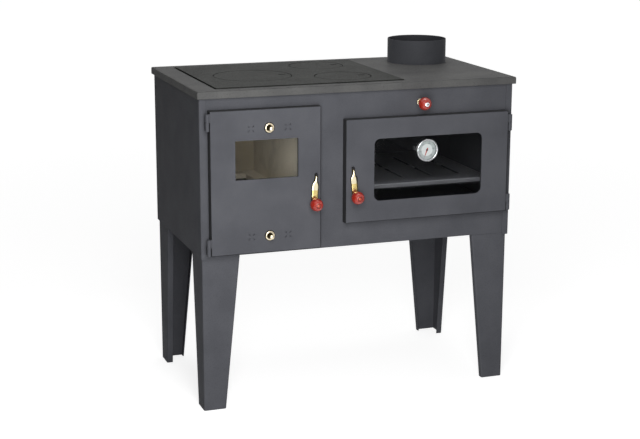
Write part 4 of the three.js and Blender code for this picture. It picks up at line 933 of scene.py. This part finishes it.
@dataclass
class DoorRim:
    """Near-black band round a door's folded rim, painted shade for the dark gap and shadow round the door.
    Sizes in millimetres.
    """

    nodes: dict[str, bpy.types.Object]
    source: str
    body: str
    behind_face: float = 2.6
    before_back: float = 0.4
    clear: float = 0.02
    thickness: float = 0.28
    top_band: float = 0.6

    def build(self) -> None:
        """Makes the band: a flat section carried round the rim's rectangle, closed on itself.

        The rectangle's sides are read at the rim's top, because the hinges' knuckles widen the box.
        """
        low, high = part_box(self.source)
        mesh = self.nodes[self.source].data
        corners = np.zeros(len(mesh.vertices) * 3, np.float32)
        mesh.vertices.foreach_get("co", corners)
        corners = corners.reshape(-1, 3)
        top_edge = corners[corners[:, 2] > high.z - self.top_band * MM]
        left, right = top_edge[:, 0].min(), top_edge[:, 0].max()
        front, rear = low.y + self.behind_face * MM, high.y - self.before_back * MM
        out = np.array([self.clear, self.thickness, self.thickness, self.clear])[:, None] * MM
        depth = np.array([front, front, rear, rear])[:, None]
        x = np.array([left, right, right, left]) + out * np.array([-1, 1, 1, -1])
        z = np.array([low.z, low.z, high.z, high.z]) + out * np.array([-1, -1, 1, 1])
        points = np.stack([x, depth + 0 * x, z], -1).reshape(-1, 3)
        # painted shade: the near-black band shows as a dark line round the door
        piece(self.source + "_rim", points, grid_faces(4, 4, wrap_rows=True), Coat.RIM, self.body, (), 20.0)


@dataclass
class ShelfLip:
    """Rolled front edge of the oven's shelf, coloured pale as a painted highlight along it. Sizes in
    millimetres.
    """

    radius: float = 3.2
    side_gap: float = 3.0
    ring: int = 16

    def build(self) -> None:
        """Makes the edge: a circle (r cos a, r sin a) carried along the shelf's front, its ends drawn in."""
        low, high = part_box("oven_shelf")
        radius = self.radius * MM
        left, right = low.x + self.side_gap * MM, high.x - self.side_gap * MM
        angle = np.linspace(0, TURN, self.ring, endpoint=False)[None, :]
        share = np.array([0.02, 1.0, 1.0, 0.02])[:, None]
        x = np.array([left, left, right, right])[:, None] + 0 * angle
        y = low.y + radius + share * radius * np.cos(angle)
        z = high.z - radius + share * radius * np.sin(angle)
        points = np.stack([x, y, z], -1).reshape(-1, 3)
        # painted highlight: the pale lip shows as a bright line along the shelf
        piece("oven_shelf_lip", points, grid_faces(4, self.ring), Coat.LIP, "baking_shelf", (), 50.0)


@dataclass
class AirKnob:
    """Turned brass knob on its rosette. Sizes in millimetres."""

    source: str
    body: str
    nub: float = 5.4
    nub_rise: float = 2.6
    nub_back: float = 6.0
    chamfer: float = 0.8
    shank: float = 3.2
    shank_start: float = 7.0
    stand: float = 20.0
    rosette: float = 11.5
    rosette_rise: float = 2.8
    rosette_edge: float = 0.6
    recess: float = 5.8
    # thickness of the dark steel ring behind the rosette, a painted shadow
    washer: float = 1.2

    def build(self) -> None:
        """Makes the domed nub on its shank, the half-round rosette, a dark brass neck and recess floor
        painted as the shade in the crevice, and a dark steel ring behind the rosette painted as its shadow.
        """
        low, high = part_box(self.source)
        centre = (low + high) / 2
        front, back = -low.y / MM, -high.y / MM
        face, start = front - self.stand, front - self.shank_start
        bulge = np.linspace(0, math.pi, 12)
        middle, half = (self.rosette + self.recess) / 2, (self.rosette - self.recess) / 2
        thin, wide = self.shank - 0.2, self.recess + 0.2
        inner, outer = self.shank - 0.1, self.rosette + self.washer
        nub = np.concatenate([
            dome(self.nub, self.nub_rise, front - self.nub_rise, 12),
            [[self.nub, front - self.nub_back], [self.nub - self.chamfer, start], [thin, start], [thin, back],
             [0, back]]])
        arch = np.stack([middle - half * np.cos(bulge),
                         face + self.rosette_edge + self.rosette_rise * np.sin(bulge)], -1)
        rosette = np.concatenate([arch, [[self.rosette, face], [self.recess, face]]])
        neck = np.array([[inner, start - 0.1], [self.shank, start - 0.1], [self.shank, face + 0.5],
                         [wide, face + 0.5], [wide, face], [inner, face]])
        washer = np.array([[self.shank, face - self.washer], [outer, face - self.washer],
                           [outer, face - 0.1], [self.shank, face - 0.1]])
        # painted shade: the dark neck fills the crevice round the nub, and the dark ring behind the rosette
        # stands for its shadow
        for name, profile, coat, hides in (
                ("_turned", nub, Coat.KNOB, (self.source,)), ("_rosette", rosette, Coat.KNOB, ()),
                ("_neck", neck, Coat.EDGE, ()), ("_washer", washer, Coat.DARK_STEEL, ())):
            turned = revolved(profile * MM, Axis.FRONT, (centre.x, 0.0, centre.z), 64)
            piece(self.source + name, *turned, coat, self.body, hides, 50.0)


# ---- Sealing ropes and liner screws ----


@dataclass
class SealingRope:
    """Knitted rope in a door's channel. Sizes in millimetres."""

    source: str
    body: str
    thickness: float = 7.6
    corner: float = 8.0
    stitch: float = 6.0
    spacing: float = 1.3
    around: int = 20

    def path(self) -> tuple[np.ndarray, np.ndarray, np.ndarray]:
        """Walks a rounded rectangle at even steps.

        Returns:
            Distances along it, points (x, z), and the outward directions there.
        """
        low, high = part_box(self.source)
        half, radius = self.thickness * MM / 2, self.corner * MM
        left, right = low.x + half, high.x - half
        bottom, top = low.z + half, high.z - half
        wide, tall = right - left - 2 * radius, top - bottom - 2 * radius
        arc = math.pi / 2 * radius
        total = 2 * (wide + tall) + 4 * arc
        along = np.linspace(0, total, round(total / (self.spacing * MM)), endpoint=False)
        corners = np.array([[right - radius, bottom + radius], [right - radius, top - radius],
                            [left + radius, top - radius], [left + radius, bottom + radius]])
        edges = np.cumsum([0, tall, arc, wide, arc, tall, arc, wide, arc])
        part = np.searchsorted(edges, along, side="right") - 1
        side, on_arc = part // 2, part % 2 == 1
        into = along - edges[part]
        angle = side * math.pi / 2 + np.where(on_arc, into / radius, 0.0)
        out = np.stack([np.cos(angle), np.sin(angle)], -1)
        forward = np.stack([-np.sin(angle), np.cos(angle)], -1)
        pivot = np.where(on_arc[:, None], corners[(side + 1) % 4], corners[side])
        points = pivot + radius * out + np.where(on_arc, 0.0, into)[:, None] * forward
        return along, points, out

    def build(self) -> None:
        """Makes the rope.

        At distance s and angle t its radius is R (0.82 + 0.1 |sin(k s + 2t)| + 0.1 |sin(k s - 2t)|)
        for the knit, times (1 - 0.05 cos 4t), which makes the section a little square.
        """
        low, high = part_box(self.source)
        along, points, out = self.path()
        angle = np.linspace(0, TURN, self.around, endpoint=False)[None, :]
        cycles = round(along[-1] / (self.stitch * MM))
        wave = (along / along[-1] * cycles * math.pi)[:, None]
        knit = 0.1 * np.abs(np.sin(wave + 2 * angle)) + 0.1 * np.abs(np.sin(wave - 2 * angle))
        radius = self.thickness * MM / 2 * (0.82 + knit) * (1 - 0.05 * np.cos(4 * angle))
        sideways, depth = radius * np.cos(angle), radius * np.sin(angle)
        x = points[:, 0][:, None] + sideways * out[:, 0][:, None]
        z = points[:, 1][:, None] + sideways * out[:, 1][:, None]
        y = (low.y + high.y) / 2 + depth
        made = piece(self.source + "_knitted", np.stack([x, y, z], -1).reshape(-1, 3),
                     grid_faces(*x.shape, wrap_rows=True), Coat.ROPE, self.body, (self.source,), 180.0)
        layer = made.data.uv_layers.new(name="yarn")
        vertex = np.zeros(len(made.data.loops), np.int32)
        made.data.loops.foreach_get("vertex_index", vertex)
        row, column = np.divmod(vertex, self.around)
        uv = np.stack([row * self.spacing / self.thickness, column / self.around * 3], -1)
        layer.data.foreach_set("uv", uv.astype(np.float32).ravel())


@dataclass
class LinerScrews:
    """Pan-head screws that hold a door's liner. Sizes in millimetres."""

    source: str
    body: str
    rows: tuple[float, ...]
    head: float = 4.5
    rise: float = 2.4
    inset: float = 26.0
    sheet: float = 2.0

    def build(self) -> None:
        """Makes the heads: a dome (r sin a, h cos a) for each, on the liner's back."""
        low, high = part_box(self.source)
        profile = np.concatenate([dome(self.head, self.rise, 0.1, 7), [[self.head, 0.05], [0, 0.05]]]) * MM
        places = [(x, low.y + self.sheet * MM, low.z + share * (high.z - low.z))
                  for x in (low.x + self.inset * MM, high.x - self.inset * MM) for share in self.rows]
        heads = several([revolved(profile, Axis.BACK, place, 24) for place in places])
        piece(self.source + "_screws", *heads, Coat.STEEL, self.body)


# ---- Thermometer dial ----


@dataclass
class Dial:
    """Face, scale, hub and bezel of the oven thermometer. Sizes in millimetres."""

    bezel: float = 2.5
    bezel_tube: float = 1.8
    bezel_middle: float = 1.4
    needle_gap: float = 0.3
    rest_deg: float = 200.0
    sweep_deg: float = 300.0
    top_reading: int = 500
    reading_step: int = 100
    ticks: int = 51
    long_every: int = 5
    band_start: float = 14.5
    rim: float = 1.3
    numeral_height: float = 4.0
    numeral_inset: float = 5.8
    hub: float = 2.2
    hub_rise: float = 1.2

    def direction(self, share: float) -> np.ndarray:
        """Gives the dial's direction at a share of its sweep, clockwise from rest, seen from the front."""
        angle = np.radians(self.rest_deg + share * self.sweep_deg)
        return np.stack([np.sin(angle), np.cos(angle)], -1)

    def tick(self, share: float, inner: float, outer: float, width: float) -> Shape:
        """Makes one tick as a thin box between two radii.

        Args:
            share: Its place along the sweep.
            inner: Inner radius.
            outer: Outer radius.
            width: Its width.

        Returns:
            Points and faces, drawn in right, up and outward.
        """
        out = self.direction(share)
        across = np.array([-out[1], out[0]]) * width / 2
        flat = np.array([out * inner - across, out * outer - across,
                         out * outer + across, out * inner + across])
        box = np.concatenate([np.column_stack([flat, np.full(4, level)]) for level in (0.04, 0.14)]) * MM
        faces = np.array([[0, 3, 2, 1], [4, 5, 6, 7], [0, 1, 5, 4], [1, 2, 6, 5], [2, 3, 7, 6], [3, 0, 4, 7]])
        return box, faces

    def numeral(self, text: str, place: np.ndarray, centre: Place) -> None:
        """Makes one number of the scale as a thin solid.

        Args:
            text: The number.
            place: Its middle from the dial's, right and up.
            centre: The dial's middle.
        """
        curve = bpy.data.curves.new("numeral", "FONT")
        curve.body = text
        curve.size = self.numeral_height * MM
        curve.extrude = 0.05 * MM
        curve.align_x = "CENTER"
        curve.align_y = "CENTER"
        curve.resolution_u = 3
        holder = bpy.data.objects.new("numeral", curve)
        bpy.context.scene.collection.objects.link(holder)
        bpy.context.view_layer.update()
        mesh = bpy.data.meshes.new_from_object(holder)
        bpy.data.objects.remove(holder)
        local = np.zeros(len(mesh.vertices) * 3, np.float32)
        mesh.vertices.foreach_get("co", local)
        local = local.reshape(-1, 3) + np.array([*(place * MM), 0.08 * MM])
        mesh.vertices.foreach_set("co", Axis.FRONT.place(local, centre).astype(np.float32).ravel())
        mounted(f"dial_number_{text}", mesh, Coat.INK, "oven_door", ())

    def layer(self, name: str, coat: Coat, start: float, end: float, foot: float, top: float,
              flat: Place) -> None:
        """Makes a thin disc or ring of the dial.

        Args:
            name: The piece's name.
            coat: Its finish.
            start: Inner radius, 0 for a disc.
            end: Outer radius.
            foot: Height of its foot.
            top: Height of its top.
            flat: The dial's middle.
        """
        section = np.array([[start, foot], [end, foot], [end, top], [start, top]]) * MM
        piece(name, *revolved(section, Axis.FRONT, flat, 72), coat, "oven_door")

    def build(self) -> None:
        """Makes the face, the printed scale, the needle's hub and the rounded bezel."""
        low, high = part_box("thermometer_case")
        needle_low, needle_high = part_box("thermometer_needle")
        centre = middle_of("thermometer_case")
        radius = (high.x - low.x) / 2
        inner = radius / MM - self.bezel
        flat = (centre.x, needle_high.y + self.needle_gap * MM, centre.z)
        self.layer("dial_face", Coat.FACE, 0, inner - 0.1, 0.01, 0.03, flat)
        self.layer("dial_band", Coat.BAND, self.band_start, inner - self.rim, 0.02, 0.06, flat)
        self.layer("dial_rim", Coat.INK, inner - self.rim, inner - 0.1, 0.02, 0.08, flat)
        outer = inner - self.bezel_tube
        marks = [self.tick(share, outer - 3.2, outer, 0.7) if i % self.long_every == 0
                 else self.tick(share, outer - 1.6, outer, 0.35)
                 for i, share in enumerate(np.linspace(0, 1, self.ticks))]
        points, faces = several(marks)
        piece("dial_scale", Axis.FRONT.place(points, flat), faces, Coat.INK, "oven_door", (), 20.0)
        for reading in range(0, self.top_reading + 1, self.reading_step):
            place = self.direction(reading / self.top_reading) * (outer - self.numeral_inset)
            self.numeral(str(reading), place, flat)
        crown = np.concatenate([dome(self.hub, self.hub_rise, 0.05, 6), [[0, 0.05]]]) * MM
        turned = revolved(crown, Axis.FRONT, (centre.x, needle_low.y, centre.z), 24)
        piece("dial_hub", *turned, Coat.DARK_STEEL, "needle")
        ring = np.linspace(0, TURN, 20, endpoint=False)
        tube, middle = self.bezel_tube * MM, self.bezel_middle * MM
        section = np.stack([radius - tube + tube * np.cos(ring), -low.y - middle + middle * np.sin(ring)], -1)
        turned = revolved(section, Axis.FRONT, (centre.x, 0.0, centre.z), 96)
        piece("dial_bezel", *turned, Coat.BEZEL, "oven_door", (), 180.0)


# ---- Studio ----


@dataclass
class Lamp:
    """One soft box of the studio. Sizes in metres."""

    name: str
    place: Place
    aim: Place
    width: float
    height: float
    watts: float

    def build(self) -> None:
        """Makes the lamp, turned to what it lights."""
        light = bpy.data.lights.new(self.name, "AREA")
        light.energy = self.watts
        light.shape = "RECTANGLE"
        light.size = self.width
        light.size_y = self.height
        made = bpy.data.objects.new(self.name, light)
        bpy.context.scene.collection.objects.link(made)
        made.visible_camera = False
        made.location = self.place
        made.rotation_euler = (Vector(self.aim) - Vector(self.place)).to_track_quat("-Z", "Y").to_euler()


@dataclass
class Studio:
    """Camera, pale floor, world and soft boxes. Angles in radians, sizes in metres."""

    azimuth: float = -0.33950
    elevation: float = 0.23588
    roll: float = 0.00262
    place: Place = (-1.22489, -3.37361, 1.25518)
    lens_mm: float = 83.2
    sensor_mm: float = 36.0
    ambient: float = 0.06
    near_glow: float = 0.8
    far_glow: float = 0.97
    glow_reach: tuple[float, float] = (1.0, 4.0)
    floor_half: float = 30.0

    def camera(self) -> None:
        """Makes the camera that sees the stove as the photograph does."""
        cos, sin = math.cos, math.sin
        back = Vector((sin(self.azimuth) * cos(self.elevation), -cos(self.azimuth) * cos(self.elevation),
                       sin(self.elevation)))
        level = (-back).cross(Vector((0, 0, 1))).normalized()
        upright = level.cross(-back)
        right = level * cos(self.roll) + upright * sin(self.roll)
        up = upright * cos(self.roll) - level * sin(self.roll)
        data = bpy.data.cameras.new("camera")
        data.lens = self.lens_mm
        data.sensor_width = self.sensor_mm
        data.sensor_fit = "HORIZONTAL"
        made = bpy.data.objects.new("camera", data)
        bpy.context.scene.collection.objects.link(made)
        made.matrix_world = Matrix.Translation(self.place) @ Matrix((right, up, back)).transposed().to_4x4()
        bpy.context.scene.camera = made

    def seen(self, tree: Tree) -> bpy.types.Node:
        """Tells what is looked at, mirrored or seen through glass from what only gives light.

        Args:
            tree: The node tree.

        Returns:
            A node that gives 1 for the first and 0 for the second.
        """
        path = node(tree, "LightPath").outputs
        looked = node(tree, "Math", {0: path["Is Camera Ray"], 1: path["Is Glossy Ray"]}, operation="MAXIMUM")
        return node(tree, "Math", {0: looked, 1: path["Is Transmission Ray"]}, operation="MAXIMUM")

    def world(self) -> None:
        """Makes the world: white where it is seen or mirrored, and dim as a light."""
        world = bpy.data.worlds.new("studio")
        world.use_nodes = True
        tree = world.node_tree
        tree.nodes.clear()
        strength = node(tree, "MapRange", span(self.seen(tree), self.ambient, 1.0, 0.0, 1.0))
        sky = node(tree, "Background", {"Color": WHITE, "Strength": strength})
        node(tree, "OutputWorld", {"Surface": sky})
        bpy.context.scene.world = world

    def sheet(self, name: str, corners: tuple[Place, ...]) -> tuple[bpy.types.Object, Tree]:
        """Makes a flat sheet that belongs to the studio.

        Args:
            name: Its name.
            corners: Its four corners.

        Returns:
            The sheet and its material's node tree.
        """
        mesh = bpy.data.meshes.new(name)
        mesh.from_pydata(corners, [], [(0, 1, 2, 3)])
        made = bpy.data.objects.new(name, mesh)
        bpy.context.scene.collection.objects.link(made)
        material = bpy.data.materials.new("studio_" + name)
        material.use_nodes = True
        mesh.materials.append(material)
        material.node_tree.nodes.clear()
        return made, material.node_tree

    def floor(self) -> None:
        """Makes the pale floor, which keeps the stove's shadow."""
        half = self.floor_half
        corners = ((-half, -half, 0), (half, -half, 0), (half, half, 0), (-half, half, 0))
        _, tree = self.sheet("floor", corners)
        matt = node(tree, "BsdfDiffuse", {"Color": linear("#c8c8c8")})
        place = node(tree, "TexCoord").outputs["Object"]
        away = node(tree, "VectorMath", {0: place}, operation="LENGTH").outputs["Value"]
        glow = node(tree, "MapRange", span(away, self.near_glow, self.far_glow, *self.glow_reach))
        strength = node(tree, "Math", {0: self.seen(tree), 1: glow}, operation="MULTIPLY")
        lit = node(tree, "Emission", {"Color": WHITE, "Strength": strength})
        node(tree, "OutputMaterial", {"Surface": node(tree, "AddShader", {0: matt, 1: lit})})

    def card(self, name: str, corners: tuple[Place, ...]) -> None:
        """Makes a dark card out of the picture, which glass, metal and paint mirror.

        Args:
            name: Its name.
            corners: Its four corners.
        """
        made, tree = self.sheet(name, corners)
        made.visible_camera = False
        made.visible_shadow = False
        shader = node(tree, "BsdfPrincipled", {"Base Color": linear("#161616"), "Roughness": 0.9})
        node(tree, "OutputMaterial", {"Surface": shader})

    def build(self) -> None:
        """Sets up the whole studio."""
        bpy.context.scene.view_settings.view_transform = "Standard"
        self.camera()
        self.world()
        self.floor()
        self.card("front_card", ((0.665, -1.8, 0), (0.665, -1.8, 0.75), (1.8, -1.8, 0.75), (1.8, -1.8, 0)))
        self.card("left_card", ((-1.3, 1.4, 0), (-1.3, 1.4, 1.3), (-1.3, -0.8, 1.3), (-1.3, -0.8, 0)))
        stove = (0.0, 0.0, 0.5)
        Lamp("key_box", (-0.52, -1.6, 0.9), stove, 0.7, 1.6, 27.5).build()
        Lamp("top_box", (0.2, 0.4, 3.2), stove, 1.6, 1.6, 23.0).build()


# ---- The whole stove ----


def main() -> None:
    """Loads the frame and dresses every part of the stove."""
    logging.basicConfig(level=logging.INFO, format="%(name)s: %(message)s")
    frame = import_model()
    nodes = frame["nodes"]
    parts = (
        Studio(),
        PlainParts(nodes),
        EasedParts(nodes),
        FlueCollar(),
        Lever("fire_latch_lever", "fire_latch", -4.5),
        Lever("oven_latch_lever", "oven_latch", 4.5),
        Bead("fire_latch_bead", "fire_latch", Coat.PLUG),
        Bead("oven_latch_bead", "oven_latch", Coat.PLUG),
        Bead("damper_bead", "damper", Coat.BEZEL, stud_radius=5.6, recess=1.4),
        DamperFerrule(),
        # near-black bands round the doors' rims: painted shade
        DoorRim(nodes, "fire_door_pan", "fire_door"),
        DoorRim(nodes, "oven_door_pan", "oven_door"),
        ShelfLip(),
        AirKnob("upper_air_knob", "upper_air_control"),
        AirKnob("lower_air_knob", "lower_air_control"),
        SealingRope("fire_door_rope", "fire_door"),
        SealingRope("oven_door_rope", "oven_door"),
        LinerScrews("fire_door_liner", "fire_door", (0.08, 0.4, 0.92)),
        LinerScrews("oven_door_liner", "oven_door", (0.12, 0.88)),
        Dial(),
    )
    for part in parts:
        part.build()


if __name__ == "__main__":
    main()
